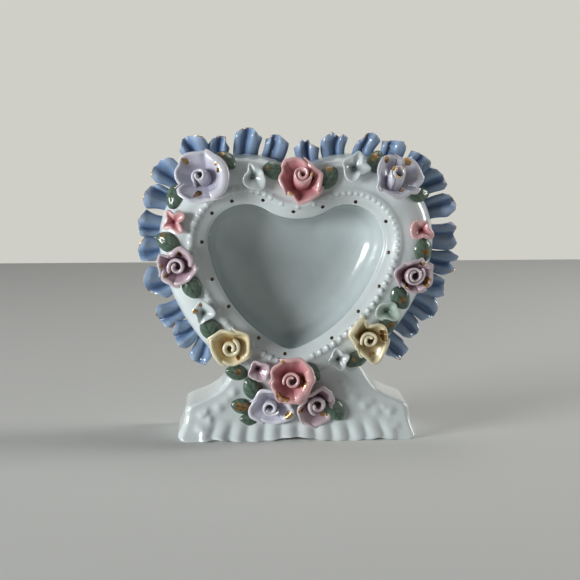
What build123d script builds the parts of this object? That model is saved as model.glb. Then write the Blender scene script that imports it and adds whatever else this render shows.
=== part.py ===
# Porcelain heart photo frame: a hollow heart-shaped case standing on a fluted foot, dressed with
# hand-made roses, blossoms, leaves and a blue frill.
# The front faces -Y, the foot stands on Z = 0, and the origin lies there under the middle of the case.
# All sizes are in millimetres and all bearings in degrees, seen from the front with 0 to the right.
import math
import os

from build123d import *

# Opening of the heart at its lip, drawn as tangent arcs
opening_half_width = 34.0
lobe_radius = 14.5
lobe_height = 76.0          # lobe centres above the table
notch_depth = 5.6           # dip between the two lobes
side_radius = 55.0
tip_height = 35.0
tip_radius = 8.0
tip_shift = -2.5            # the hand-cut tip leans to the left

# Heart case
ring_width = 18.5           # lip to outer edge
case_depth = 20.0
shoulder_radius = 9.5       # rounding of the front edge
back_edge_radius = 5.0
lip_bevel_width = 5.5       # plain band that slopes in to the lip
lip_bevel_depth = 3.0
recess_inset = 5.0          # how far the dished recess draws in at its floor
recess_steps = 4
back_wall = 3.5
case_wall = 3.0
shoulder_wall = 5.0         # the rounded shoulder stays thicker than the walls

# Foot
foot_half_width = 45.0
foot_end_half_width = 42.5  # at the top of the end walls
foot_end_height = 13.5
neck_half_width = 26.0      # where the flare meets the heart
neck_height = 26.0
flare_sag = 3.5             # hollow of the concave flare
foot_back = 16.0            # foot reaches this far behind the middle of the case
foot_back_height = 12.0     # above this the back slopes in to the case
foot_wall = 3.5
drain_radius = 3.5

# Fluted skirt along the foot's front
flute_count = 14
flute_height = 9.0
flute_depth = 2.6           # at the table
flute_top_depth = 0.8
arch_half_span = 12.0       # shallow arches under the skirt
arch_rise = 1.2
arch_spacing = 30.0

# Row of beads round the lip band
bead_radius = 0.8
bead_pitch = 2.25
bead_gap = 0.2              # from the band's edge and from a flower

# Garland line that the flowers follow
garland_inset = 6.0         # from the outer edge
edge_margin = 1.5           # seats stay this far inside the outer edge
seat_lean = 0.6             # share of the shoulder's slope that a flower takes up

# Luting pads that hold the flowers and leaves
pad_sink = 3.5
pad_height = 1.6
pad_share = 0.56            # of a rose's radius

# Rose petals: height and radius as shares of the rose, and share of the petal's full width
petal_thickness = 0.9
petal_gap = 8.0             # degrees between petals
petal_root_share = 0.48
petal_root_height = 0.8
petal_levels = [(0.30, 0.62, 1.0), (0.56, 0.85, 0.96), (0.78, 1.0, 0.62)]
petal_root_width = 0.8

# Rolled rose buds, as shares of the rose's radius
bud_hole_share = 0.11
bud_step_share = 0.08
bud_strip_share = 0.09
bud_height_share = 0.62
bud_half_turns = 3

# Blossoms: height and radius as shares, and depth of the lobes
blossom_wall = 0.8
blossom_height = 4.2
blossom_stem_radius = 1.5
blossom_levels = [(0.0, 0.36, 0.05), (0.5, 0.56, 0.16), (1.0, 0.84, 0.26)]
blossom_floor = 0.3         # share of the height that stays solid

# Leaves
leaf_length = 9.0
leaf_width = 6.4
leaf_rise = 1.6
leaf_thickness = 1.0
leaf_pad_radius = 1.3

# Frill of folded petals standing out from the outer edge
frill_height = 9.2
frill_half_width = 4.5
frill_root_share = 0.58     # pinched width at the root
frill_middle_share = 0.8
frill_fold = 1.4            # depth of the folds at the rim
frill_root_fold = 0.42
frill_thickness = 0.8
frill_sink = 3.0            # root let into the case
frill_points = 8            # spans of the folded line
frill_depth = 1.0           # behind the middle of the case
frill_right_ends = (0.032, 0.368)
frill_left_ends = (0.626, 0.958)
frill_right_groups = [("frill_top_right", 3), ("frill_upper_right", 3), ("frill_lower_right", 4),
                      ("frill_bottom_right", 3)]
frill_left_groups = [("frill_bottom_left", 3), ("frill_lower_left", 3), ("frill_upper_left", 3),
                     ("frill_top_left", 3)]

# Roses on the ring: share of the way round the garland from the notch (clockwise), distance outside
# the garland line, bearing of the first petal, radius and number of petals
ring_roses = {
    "rose_pink_top": (0.005, 1.0, 20, 8.2, 4),
    "rose_lavender_top_right": (0.138, 2.6, 40, 9.2, 4),
    "rose_mauve_right": (0.274, -1.0, 80, 7.0, 4),
    "rose_yellow_right": (0.382, -0.6, 70, 8.6, 4),
    "rose_yellow_left": (0.608, -1.0, 30, 7.6, 4),
    "rose_mauve_left": (0.743, -0.6, 60, 7.2, 4),
    "rose_lavender_top_left": (0.870, 1.4, 10, 9.8, 3),
}

# Roses on the foot: across, height, lift off the foot, lean and bearing of the lean, bearing of the
# first petal, radius and number of petals
foot_roses = {
    "rose_pink_bottom": (-2.5, 23.2, 4.5, 4, 90, 50, 8.6, 4),
    "rose_lavender_bottom_left": (-10.8, 13.8, 0.0, 14, -130, 15, 7.8, 3),
    "rose_lilac_bottom_right": (7.4, 13.2, 0.0, 14, -50, 60, 7.6, 3),
}

# Blossoms on the ring: share round the garland, distance outside it, bearing, radius, lobes
blossoms = {
    "blossom_white_top_right": (0.082, 1.0, 100, 5.2, 5),
    "blossom_pink_right": (0.210, 0.1, 120, 4.8, 4),
    "blossom_green_right": (0.334, -2.8, 60, 4.8, 4),
    "blossom_white_right": (0.432, -2.3, 70, 4.6, 4),
    "blossom_mauve_left": (0.556, 0.3, 30, 4.8, 4),
    "blossom_white_left": (0.669, -2.1, 20, 4.6, 4),
    "blossom_pink_left": (0.802, 0.8, 50, 4.9, 4),
    "blossom_white_top_left": (0.936, -1.9, 95, 4.4, 3),
}

# Leaves on the ring: share round the garland, distance outside it, bearing of the tip
ring_leaves = {
    "leaf_pink_top_right": (0.042, -1.2, 55),
    "leaf_top_right_upright": (0.106, 4.4, 75),
    "leaf_lavender_top_right": (0.170, 4.0, 10),
    "leaf_mauve_right_upper": (0.237, 0.9, 90),
    "leaf_mauve_right_lower": (0.309, -1.0, -60),
    "leaf_yellow_right_upper": (0.346, 0.6, 70),
    "leaf_yellow_right_lower": (0.412, 2.4, -150),
    "leaf_pink_bottom_right": (0.473, -2.6, 30),
    "leaf_yellow_left_lower": (0.580, 4.0, -110),
    "leaf_yellow_left_upper": (0.645, -0.3, 120),
    "leaf_mauve_left_lower": (0.709, -2.6, -60),
    "leaf_mauve_left_upper": (0.775, 2.2, 150),
    "leaf_lavender_top_left_lower": (0.829, 4.4, -100),
    "leaf_lavender_top_left_upper": (0.902, 4.2, -40),
    "leaf_pink_top_left": (0.963, 2.2, 180),
}

# Leaves on the foot: across, height, bearing of the tip
foot_leaves = {
    "leaf_bottom_right": (15.4, 12.0, -30),
    "leaf_bottom_left_upper": (-17.4, 19.6, 120),
    "leaf_bottom_left_gold": (-22.0, 13.4, 165),
    "leaf_bottom_left_lower": (-19.4, 7.6, -150),
}

case_front = case_depth / 2
garland_spread = ring_width - garland_inset
recess_depth = case_depth - lip_bevel_depth - back_wall
lobe_x = opening_half_width - lobe_radius
notch_radius = (lobe_x**2 + notch_depth**2) / (2 * notch_depth) - lobe_radius
notch_centre = Vector(0, lobe_height + lobe_radius - notch_depth + notch_radius)
tip_centre = Vector(tip_shift, tip_height + tip_radius)
lobe_centres = {"right": Vector(lobe_x, lobe_height), "left": Vector(-lobe_x, lobe_height)}


def side_centre(hand):
    """Centre of the side arc that touches a lobe circle and the tip circle from outside."""
    lobe = lobe_centres[hand]
    span = tip_centre - lobe
    lobe_gap = side_radius - lobe_radius
    tip_gap = side_radius - tip_radius
    along = (span.length**2 + lobe_gap**2 - tip_gap**2) / (2 * span.length)
    across = math.sqrt(lobe_gap**2 - along**2)
    forward = span.normalized()
    inward = Vector(forward.Y, -forward.X) if hand == "right" else Vector(-forward.Y, forward.X)
    return lobe + forward * along + inward * across


side_centres = {hand: side_centre(hand) for hand in lobe_centres}


def bearing_of(vector):
    return math.degrees(math.atan2(vector.Y, vector.X))


def heart_arcs(spread):
    """Arcs of the heart drawn spread outside the lip, clockwise from the notch: centre, radius,
    first bearing, sweep and whether the arc bulges outwards."""
    right, left = lobe_centres["right"], lobe_centres["left"]
    right_side, left_side = side_centres["right"], side_centres["left"]
    down = Vector(0, -1)
    lobe = lobe_radius + spread
    dip = notch_radius - spread

    # A heart drawn wider than the notch's radius has no notch arc: its lobes meet in a crease
    crease = Vector(0, lobe_height + math.sqrt(max(lobe**2 - lobe_x**2, 0)))
    dip_end = notch_centre if dip > 0 else crease
    turns = [
        (right, lobe, dip_end - right, right - right_side, True),
        (right_side, side_radius + spread, right - right_side, tip_centre - right_side, True),
        (tip_centre, tip_radius + spread, tip_centre - right_side, tip_centre - left_side, True),
        (left_side, side_radius + spread, tip_centre - left_side, left - left_side, True),
        (left, lobe, left - left_side, dip_end - left, True),
    ]
    if dip > 0:
        turns.insert(0, (notch_centre, dip, down, right - notch_centre, False))
        turns.append((notch_centre, dip, left - notch_centre, down, False))
    arcs = []
    for centre, radius, first, last, outward in turns:
        start = bearing_of(first)
        sweep = (bearing_of(last) - start + 180) % 360 - 180
        arcs.append((centre, radius, start, sweep, outward))
    return arcs


def draw_heart(spread):
    """Draws the heart, spread outside the lip, into the open line block."""
    for centre, radius, start, sweep, outward in heart_arcs(spread):
        CenterArc(centre, radius, start, sweep)


def heart_length(spread):
    return sum(
        radius * math.radians(abs(sweep)) for centre, radius, start, sweep, outward in heart_arcs(spread)
    )


def heart_point(share, spread):
    """Point a share of the way round the heart drawn at that spread, and the way outwards there."""
    left_over = share % 1.0 * heart_length(spread)
    for centre, radius, start, sweep, outward in heart_arcs(spread):
        length = radius * math.radians(abs(sweep))
        if left_over <= length:
            break
        left_over -= length
    angle = math.radians(start + sweep * min(left_over / length, 1.0))
    ray = Vector(math.cos(angle), math.sin(angle))
    return centre + ray * radius, ray if outward else ray * -1


def shoulder(spread):
    """Depth of the case's front surface and its slope, at a distance outside the lip."""
    run = spread - (ring_width - shoulder_radius)
    if run <= 0:
        return -case_front, 0.0
    slope = math.asin(run / shoulder_radius)
    return -case_front + shoulder_radius * (1 - math.cos(slope)), math.degrees(slope)


def facing_plane(origin, lean, lean_way, bearing):
    """Plane that faces the front, leaned towards lean_way, with its X axis at the bearing."""
    tilt = math.radians(lean)
    normal = Vector(lean_way.X * math.sin(tilt), -math.cos(tilt), lean_way.Y * math.sin(tilt))
    turn = math.radians(bearing)
    return Plane(origin, x_dir=Vector(math.cos(turn), 0, math.sin(turn)), z_dir=normal)


def ring_seat(share, outside, bearing):
    """Seat on the front of the ring, at a share of the garland line and a distance outside it."""
    on_line, outwards = heart_point(share, garland_spread)
    reach = min(outside, garland_inset - edge_margin)
    spot = on_line + outwards * reach
    depth, slope = shoulder(garland_spread + reach)
    return facing_plane((spot.X, depth, spot.Y), slope * seat_lean, outwards, bearing)


def foot_seat(across, height, lift, lean, lean_bearing, bearing):
    """Seat on the front of the foot, lifted off it where a rose stands in front of others."""
    way = Vector(1, 0).rotate(Axis.Z, lean_bearing)
    return facing_plane((across, -case_front - lift, height), lean, way, bearing)


def fitted(shape, neighbours):
    """The shape cut back where neighbours already sit, as its largest solid."""
    box = shape.bounding_box(optimal=False)
    with BuildPart() as cut:
        add(shape)
        for solid, solid_box in neighbours:
            if box.overlaps(solid_box):
                add(solid, mode=Mode.SUBTRACT)
    return cut.part.solids().sort_by(SortBy.VOLUME)[-1]


def boxed(shape):
    """The shape with a rough box round it, for fitting later shapes to it."""
    return shape, shape.bounding_box(optimal=False)


def save(shape, name):
    shape.label = name
    export_step(shape, f"parts/{name}.step")


def foot_block(inset):
    """The foot's outside, or with an inset the hollow that leaves a wall of that thickness."""
    corner = (foot_end_half_width - inset, foot_end_height - inset)
    neck = (neck_half_width - inset, neck_height - inset)
    base = foot_half_width - inset
    slope_foot = (foot_back - inset, foot_back_height)
    slope_top = (case_front - inset, neck_height)
    behind = foot_back + foot_wall
    with BuildPart() as block:
        with BuildSketch(Plane.XZ.offset(case_front - inset)):
            with BuildLine():
                Line((-base, 0), (base, 0))
                for hand in (-1, 1):
                    Line((hand * base, 0), (hand * corner[0], corner[1]))
                    SagittaArc((hand * corner[0], corner[1]), (hand * neck[0], neck[1]), hand * flare_sag)
                    Line((hand * neck[0], neck[1]), (0, lobe_height))
            make_face()
        extrude(amount=-(case_front + foot_back - 2 * inset))

        # The back slopes in from above the table to the back of the case
        with BuildSketch(Plane.YZ):
            with BuildLine():
                Polyline(slope_foot, slope_top, (slope_top[0], lobe_height), (behind, lobe_height),
                         (behind, slope_foot[1]), close=True)
            make_face()
        extrude(amount=foot_half_width, both=True, mode=Mode.SUBTRACT)
    return block.part


def scalloped_band(half_width, depth):
    """Draws the skirt's plan, a row of flutes along the foot's front, into the open line block."""
    pitch = 2 * half_width / flute_count
    for flute in range(flute_count):
        left = -half_width + flute * pitch
        ThreePointArc((left, -case_front), (left + pitch / 2, -case_front - depth), (left + pitch, -case_front))
    inner = -case_front + foot_wall / 2
    Polyline((-half_width, -case_front), (-half_width, inner), (half_width, inner), (half_width, -case_front))


def rose_petals(seat, radius, count, sink):
    """Cupped petals standing round a luting pad that is sunk into the body."""
    half_width = 180 / count - petal_gap / 2
    root = (petal_root_height, petal_root_share * radius, petal_root_width)
    levels = [root] + [(height * radius, share * radius, width) for height, share, width in petal_levels]
    with BuildPart() as petals:
        with BuildSketch(seat.offset(-sink)):
            Circle(pad_share * radius)
        extrude(amount=sink + pad_height)
        for petal in range(count):
            for height, reach, width in levels:
                start = 360 * petal / count - half_width * width
                sweep = 2 * half_width * width
                with BuildSketch(seat.offset(height)):
                    with BuildLine():
                        outer = CenterArc((0, 0), reach + petal_thickness / 2, start, sweep)
                        inner = CenterArc((0, 0), reach - petal_thickness / 2, start, sweep)
                        Line(outer @ 0, inner @ 0)
                        Line(outer @ 1, inner @ 1)
                    make_face()
            loft()
    return petals.part


def rose_bud(seat, radius):
    """A strip rolled into a tube of half turns, each half turn a step wider than the last."""
    step = bud_step_share * radius
    strip = bud_strip_share * radius
    hole = bud_hole_share * radius
    with BuildPart() as bud:
        with BuildSketch(seat.offset(pad_height)):
            with BuildLine():
                for turn in range(bud_half_turns):
                    centre = (step / 2 * (-1) ** (turn + 1), 0)
                    outer = CenterArc(centre, hole + turn * step + strip / 2, 180 * (turn % 2), 180)
                    inner = CenterArc(centre, hole + turn * step - strip / 2, 180 * (turn % 2), 180)
                    if turn == 0:
                        Line(outer @ 0, inner @ 0)
                Line(outer @ 1, inner @ 1)
            make_face()
        extrude(amount=bud_height_share * radius)
    return bud.part


def lobed_ring(radius, lobe_depth, lobes):
    """Closed wavy line with its points on the crests and the dips of the lobes."""
    points = []
    for index in range(2 * lobes):
        angle = math.pi * index / lobes
        reach = radius * (1 + lobe_depth * (-1) ** index)
        points.append((reach * math.cos(angle), reach * math.sin(angle)))
    Spline(*points, periodic=True)


def blossom_funnel(seat, radius, lobes):
    """A lobed funnel on a short stem that is sunk into the body."""
    with BuildPart() as funnel:
        for height, share, lobe_depth in blossom_levels:
            with BuildSketch(seat.offset(height * blossom_height)):
                with BuildLine():
                    lobed_ring(share * radius, lobe_depth, lobes)
                make_face()
        loft()
        for height, share, lobe_depth in blossom_levels:
            level = blossom_floor + (1 - blossom_floor) * height
            with BuildSketch(seat.offset(level * blossom_height)):
                with BuildLine():
                    lobed_ring(share * radius - blossom_wall, lobe_depth, lobes)
                make_face()
        loft(mode=Mode.SUBTRACT)
        with BuildSketch(seat.offset(-pad_sink)):
            Circle(blossom_stem_radius)
        extrude(amount=pad_sink + blossom_floor * blossom_height / 2)
    return funnel.part


def domed_leaf(seat):
    """A pointed leaf cut from a domed sheet, held by a dab of slip under its middle."""
    dome = (leaf_length**2 / 4 + leaf_rise**2) / (2 * leaf_rise)
    half = leaf_length / 2
    with BuildPart() as sheet:
        with Locations(seat.offset(leaf_rise - dome)):
            Sphere(dome)
            Sphere(dome - leaf_thickness, mode=Mode.SUBTRACT)
    with BuildPart() as leaf:
        with BuildSketch(seat.offset(-leaf_thickness)):
            with BuildLine():
                ThreePointArc((-half, 0), (0, leaf_width / 2), (half, 0))
                ThreePointArc((-half, 0), (0, -leaf_width / 2), (half, 0))
            make_face()
        extrude(amount=leaf_rise + 2 * leaf_thickness)
        add(sheet.part, mode=Mode.INTERSECT)
        with BuildSketch(seat.offset(-pad_sink)):
            Circle(leaf_pad_radius)
        extrude(amount=pad_sink + leaf_rise - leaf_thickness / 2)
    return leaf.part


def frill_section(half_width, fold):
    """Draws a strip folded into two ridges, with its ends and middle folded back."""
    points = {1: [], -1: []}
    for index in range(frill_points + 1):
        across = 2 * index / frill_points - 1
        wave = fold * math.cos(2 * math.pi * across)
        rise = -fold * 2 * math.pi / half_width * math.sin(2 * math.pi * across)
        length = math.hypot(1, rise)
        for side in points:
            offset = side * frill_thickness / 2 / length
            points[side].append((half_width * across - rise * offset, wave + offset))
    Spline(*points[1])
    Spline(*points[-1])
    Line(points[1][0], points[-1][0])
    Line(points[1][-1], points[-1][-1])


def frill_petal(share):
    """One fold of the frill, pinched at its root, which is let into the outer edge of the case."""
    on_line, outwards = heart_point(share, garland_spread)
    spot = on_line + outwards * garland_inset
    along = Vector(outwards.Y, 0, -outwards.X)
    root = Plane((spot.X, frill_depth, spot.Y), x_dir=along, z_dir=Vector(outwards.X, 0, outwards.Y))
    levels = [
        (-frill_sink, frill_root_share, frill_root_fold),
        (frill_height / 2, frill_middle_share, (frill_root_fold + frill_fold) / 2),
        (frill_height, 1.0, frill_fold),
    ]
    with BuildPart() as petal:
        for height, width, fold in levels:
            with BuildSketch(root.offset(height)):
                with BuildLine():
                    frill_section(frill_half_width * width, fold)
                make_face()
        loft()
    return petal.part


os.makedirs("parts", exist_ok=True)

# Drain from the hollow of the ring down into the hollow of the foot
with BuildPart() as drain:
    with BuildSketch(Plane.XY.offset(foot_wall)):
        with Locations((tip_shift, 0)):
            Circle(drain_radius)
    extrude(amount=tip_height - case_wall - foot_wall)

# Outside of the heart case, which the foot and every ornament are cut to
with BuildPart() as case_outside:
    with BuildSketch(Plane.XZ.offset(case_front)):
        with BuildLine():
            draw_heart(ring_width)
        make_face()
    extrude(amount=-case_depth)
    fillet(case_outside.faces().sort_by(Axis.Y)[0].edges(), shoulder_radius)
    fillet(case_outside.faces().sort_by(Axis.Y)[-1].edges(), back_edge_radius)

with BuildPart() as heart_case:
    add(case_outside.part)

    # Sloping band from the crest of the ring down to the lip
    for spread, depth in [(lip_bevel_width, 0), (0, lip_bevel_depth)]:
        with BuildSketch(Plane.XZ.offset(case_front - depth)):
            with BuildLine():
                draw_heart(spread)
            make_face()
    loft(ruled=True, mode=Mode.SUBTRACT)

    # Dished recess for the picture, a quarter ellipse in section
    for step in range(recess_steps + 1):
        angle = math.radians(90 * step / recess_steps)
        depth = lip_bevel_depth + recess_depth * math.sin(angle)
        with BuildSketch(Plane.XZ.offset(case_front - depth)):
            with BuildLine():
                draw_heart(-recess_inset * (1 - math.cos(angle)))
            make_face()
    loft(mode=Mode.SUBTRACT)

    # Casting hollow inside the ring, drained at the tip
    hollow_front = case_front - lip_bevel_depth - case_wall / 2
    hollow_back = case_front - back_wall
    with BuildSketch(Plane.XZ.offset(hollow_front)):
        with BuildLine():
            draw_heart(ring_width - shoulder_wall)
        make_face()
        with BuildLine():
            draw_heart(case_wall)
        make_face(mode=Mode.SUBTRACT)
    extrude(amount=-(hollow_front + hollow_back), mode=Mode.SUBTRACT)
    add(drain.part, mode=Mode.SUBTRACT)
save(heart_case.part, "heart_case")

# Foot: a flared block cut to the case, fluted along the front and hollow underneath
with BuildPart() as foot_hollow:
    add(foot_block(foot_wall))
    with BuildSketch(Plane.XZ.offset(case_front)):
        with BuildLine():
            draw_heart(ring_width + foot_wall)
        make_face()
    extrude(amount=-(case_front + foot_back), mode=Mode.SUBTRACT)

with BuildPart() as pedestal_foot:
    add(foot_block(0))
    for level, half_width, depth in [
        (0, foot_half_width, flute_depth),
        (flute_height, foot_end_half_width, flute_top_depth),
    ]:
        with BuildSketch(Plane.XY.offset(level)):
            with BuildLine():
                scalloped_band(half_width, depth)
            make_face()
    loft(ruled=True)
    add(foot_hollow.part, mode=Mode.SUBTRACT)
    add(drain.part, mode=Mode.SUBTRACT)
    add(case_outside.part, mode=Mode.SUBTRACT)

    # Nothing of the foot covers the crest of the ring or the opening
    with BuildSketch(Plane.XZ.offset(case_front)):
        with BuildLine():
            draw_heart(ring_width - shoulder_radius)
        make_face()
    extrude(amount=-(case_front + foot_back), mode=Mode.SUBTRACT)

    # Shallow arches under the skirt
    arch_radius = (arch_half_span**2 + arch_rise**2) / (2 * arch_rise)
    with BuildSketch(Plane.XZ.offset(case_front + flute_depth)):
        for across in (-arch_spacing, 0, arch_spacing):
            with Locations((across, arch_rise - arch_radius)):
                Circle(arch_radius)
    extrude(amount=-(flute_depth + foot_wall), mode=Mode.SUBTRACT)
save(pedestal_foot.part, "pedestal_foot")

# Ornaments, each cut back where the body or an earlier ornament sits
placed = [boxed(case_outside.part), boxed(pedestal_foot.part)]
footprints = []

rose_seats = {}
for name, (share, outside, bearing, radius, count) in ring_roses.items():
    rose_seats[name] = (ring_seat(share, outside, bearing), radius, count, pad_sink)
for name, (across, height, lift, lean, lean_bearing, bearing, radius, count) in foot_roses.items():
    seat = foot_seat(across, height, lift, lean, lean_bearing, bearing)
    rose_seats[name] = (seat, radius, count, pad_sink + lift)

for name, (seat, radius, count, sink) in rose_seats.items():
    petals = fitted(rose_petals(seat, radius, count, sink), placed)
    placed.append(boxed(petals))
    bud = fitted(rose_bud(seat, radius), placed)
    placed.append(boxed(bud))
    save(petals, f"{name}_petals")
    save(bud, f"{name}_bud")
    footprints.append((seat.origin, pad_share * radius))

for name, (share, outside, bearing, radius, lobes) in blossoms.items():
    seat = ring_seat(share, outside, bearing)
    funnel = fitted(blossom_funnel(seat, radius, lobes), placed)
    save(funnel, name)
    placed.append(boxed(funnel))
    footprints.append((seat.origin, blossom_levels[1][1] * radius))

leaf_seats = {name: ring_seat(*place) for name, place in ring_leaves.items()}
for name, (across, height, bearing) in foot_leaves.items():
    leaf_seats[name] = foot_seat(across, height, 0, 0, 0, bearing)
for name, seat in leaf_seats.items():
    leaf = fitted(domed_leaf(seat), placed)
    save(leaf, name)
    placed.append(boxed(leaf))
    footprints.append((seat.origin, leaf_length / 2))

# Frill, shared out evenly along each side and saved in short runs
for ends, groups in [(frill_right_ends, frill_right_groups), (frill_left_ends, frill_left_groups)]:
    total = sum(count for name, count in groups)
    index = 0
    for name, count in groups:
        run = []
        for petal in range(count):
            share = ends[0] + (ends[1] - ends[0]) * index / (total - 1)
            run.append(fitted(frill_petal(share), placed))
            placed.append(boxed(run[-1]))
            index += 1
        save(Compound(run), name)

# Bead border on the crest beside the band, left out under the flowers and leaves
bead_spread = lip_bevel_width + bead_gap + bead_radius
bead_total = round(heart_length(bead_spread) / bead_pitch)
bead_spots = []
for index in range(bead_total):
    point, outwards = heart_point(index / bead_total, bead_spread)
    spot = Vector(point.X, -case_front, point.Y)
    margin = bead_radius + bead_gap
    if all((spot - centre).length > reach + margin for centre, reach in footprints):
        bead_spots.append(spot)
with BuildPart() as bead_border:
    with Locations(*[Plane(spot, x_dir=(1, 0, 0), z_dir=(0, -1, 0)) for spot in bead_spots]):
        Sphere(bead_radius, arc_size1=0, align=(Align.CENTER, Align.CENTER, Align.MIN))
save(bead_border.part, "bead_border")
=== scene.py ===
import bpy
import numpy as np
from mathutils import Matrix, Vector


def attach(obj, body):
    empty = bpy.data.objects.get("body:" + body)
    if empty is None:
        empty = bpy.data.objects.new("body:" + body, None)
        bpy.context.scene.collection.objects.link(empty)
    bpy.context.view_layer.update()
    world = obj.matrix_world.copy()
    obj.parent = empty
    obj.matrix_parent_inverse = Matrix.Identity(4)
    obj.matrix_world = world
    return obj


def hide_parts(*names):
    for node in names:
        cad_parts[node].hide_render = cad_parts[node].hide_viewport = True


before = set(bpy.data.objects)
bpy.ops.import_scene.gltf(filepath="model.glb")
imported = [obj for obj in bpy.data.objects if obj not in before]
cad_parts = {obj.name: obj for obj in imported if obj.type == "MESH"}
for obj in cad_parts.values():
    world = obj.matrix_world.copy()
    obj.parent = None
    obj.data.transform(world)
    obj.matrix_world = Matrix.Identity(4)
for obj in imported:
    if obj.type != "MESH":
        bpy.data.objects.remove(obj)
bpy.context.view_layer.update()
mm = 0.001

# Sizes of the case in millimetres, as in the solid model
heart = dict(lobeX=19.5, lobeZ=76.0, lobeR=14.5, dip=5.6, sideR=55.0, tipX=-2.5, tipZ=43.0, tipR=8.0,
             ring=18.5, front=10.0, shoulder=9.5, backR=5.0, garland=12.5, edgeMargin=1.5, seatLean=0.6,
             middle=(-0.6, 66.0))


# The heart's outline is a chain of tangent arcs: notch, right lobe, right side, tip, left side, left lobe and
# notch again
def sideCentre(hand):
    lobe = np.array([hand * heart["lobeX"], heart["lobeZ"]])
    span = np.array([heart["tipX"], heart["tipZ"]]) - lobe
    length = np.hypot(*span)
    lobeGap = heart["sideR"] - heart["lobeR"]
    tipGap = heart["sideR"] - heart["tipR"]
    along = (length**2 + lobeGap**2 - tipGap**2) / (2 * length)
    across = np.sqrt(lobeGap**2 - along**2)
    forward = span / length
    return lobe + forward * along + hand * across * np.array([forward[1], -forward[0]])


def arcTable():
    notchR = (heart["lobeX"]**2 + heart["dip"]**2) / (2 * heart["dip"]) - heart["lobeR"]
    notch = np.array([0, heart["lobeZ"] + heart["lobeR"] - heart["dip"] + notchR])
    right, left = (np.array([hand * heart["lobeX"], heart["lobeZ"]]) for hand in (1, -1))
    rightSide, leftSide = sideCentre(1), sideCentre(-1)
    tip = np.array([heart["tipX"], heart["tipZ"]])
    down = np.array([0, -1.0])
    turns = [(notch, notchR, -1, down, right - notch),
             (right, heart["lobeR"], 1, notch - right, right - rightSide),
             (rightSide, heart["sideR"], 1, right - rightSide, tip - rightSide),
             (tip, heart["tipR"], 1, tip - rightSide, tip - leftSide),
             (leftSide, heart["sideR"], 1, tip - leftSide, left - leftSide),
             (left, heart["lobeR"], 1, left - leftSide, notch - left),
             (notch, notchR, -1, left - notch, down)]
    start = np.array([np.arctan2(turn[3][1], turn[3][0]) for turn in turns])
    stop = np.array([np.arctan2(turn[4][1], turn[4][0]) for turn in turns])
    sweep = np.mod(stop - start + np.pi, 2 * np.pi) - np.pi
    radius = np.array([turn[1] for turn in turns])
    sign = np.array([turn[2] for turn in turns])
    lengths = (radius + sign * heart["garland"]) * np.abs(sweep)
    return dict(centre=np.array([turn[0] for turn in turns]), radius=radius, sign=sign, start=start,
                sweep=sweep, lengths=lengths, ends=np.cumsum(lengths))


arcs = arcTable()


# Point at a share of the way round from the notch, clockwise, and spread millimetres outside the lip:
# the arc's centre plus its ray times the radius, which grows or shrinks by the spread
def heartLine(share, spread):
    share, spread = np.broadcast_arrays(np.mod(np.asarray(share, float), 1.0), np.asarray(spread, float))
    where = share * arcs["ends"][-1]
    arc = np.minimum(np.searchsorted(arcs["ends"], where, side="right"), len(arcs["ends"]) - 1)
    part = (where - arcs["ends"][arc] + arcs["lengths"][arc]) / arcs["lengths"][arc]
    angle = arcs["start"][arc] + arcs["sweep"][arc] * part
    ray = np.stack([np.cos(angle), np.sin(angle)], -1)
    reach = arcs["radius"][arc] + arcs["sign"][arc] * spread
    return arcs["centre"][arc] + ray * reach[..., None], ray * arcs["sign"][arc][..., None]


# Distance outside the lip of any point of the front view, from the nearest point of the garland line
lineSteps = 1200
lineShares = np.linspace(0, 1, lineSteps, endpoint=False)
linePoints, lineRays = heartLine(lineShares, heart["garland"])


def spreadAt(x, z):
    away = np.stack([x, z], -1)[..., None, :] - linePoints
    near = np.argmin(np.sum(away**2, -1), -1)
    step = np.take_along_axis(away, near[..., None, None], -2)[..., 0, :]
    return heart["garland"] + np.sum(step * lineRays[near], -1)


# Depth of the case's front at a distance outside the lip: flat crest, then a rounded shoulder
def shoulderDepth(spread):
    run = np.clip(spread - heart["ring"] + heart["shoulder"], 0, heart["shoulder"])
    return -heart["front"] + heart["shoulder"] - np.sqrt(heart["shoulder"]**2 - run**2)


# A seat is an origin with axes to the right, up and out of the front, leaned towards a way in the front view
def leanedSeat(origin, lean, way):
    tilt = np.radians(lean)
    out = np.array([way[0] * np.sin(tilt), -np.cos(tilt), way[1] * np.sin(tilt)])
    right = np.array([1.0, 0, 0]) - out * out[0]
    right /= np.linalg.norm(right)
    return dict(origin=np.array(origin, float), right=right, up=np.cross(out, right), out=out)


# Seat on the ring, some way outside the garland line, leaned by part of the shoulder's slope there
def ringSeat(share, outside):
    reach = min(outside, heart["ring"] - heart["garland"] - heart["edgeMargin"])
    spot, way = heartLine(share, heart["garland"] + reach)
    run = max(heart["garland"] + reach - heart["ring"] + heart["shoulder"], 0)
    slope = np.degrees(np.arcsin(run / heart["shoulder"]))
    depth = float(shoulderDepth(heart["garland"] + reach))
    return leanedSeat((spot[0], depth, spot[1]), slope * heart["seatLean"], way)


# Seat on the foot, lifted off the ring's front plane and leaned towards a bearing
def footSeat(across, height, lift, lean, leanBearing):
    way = (np.cos(np.radians(leanBearing)), np.sin(np.radians(leanBearing)))
    return leanedSeat((across, -heart["front"] - lift, height), lean, way)


# Points of a seat: its origin plus x to the right, y up and z out
def onSeat(seat, x, y, z):
    return (seat["origin"] + x[..., None] * seat["right"] + y[..., None] * seat["up"]
            + z[..., None] * seat["out"])


# Smooth step from 0 at low to 1 at high: three squares less two cubes of the share between them
def eased(low, high, value):
    part = np.clip((value - low) / (high - low), 0, 1)
    return part * part * (3 - 2 * part)


# Steps from low to 1 along a sine, close together towards 1, and towards -1 where low is -1
def bunched(low, count):
    return np.sin(np.linspace(low, 1, count) * np.pi / 2)


print("heart line ready")


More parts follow.
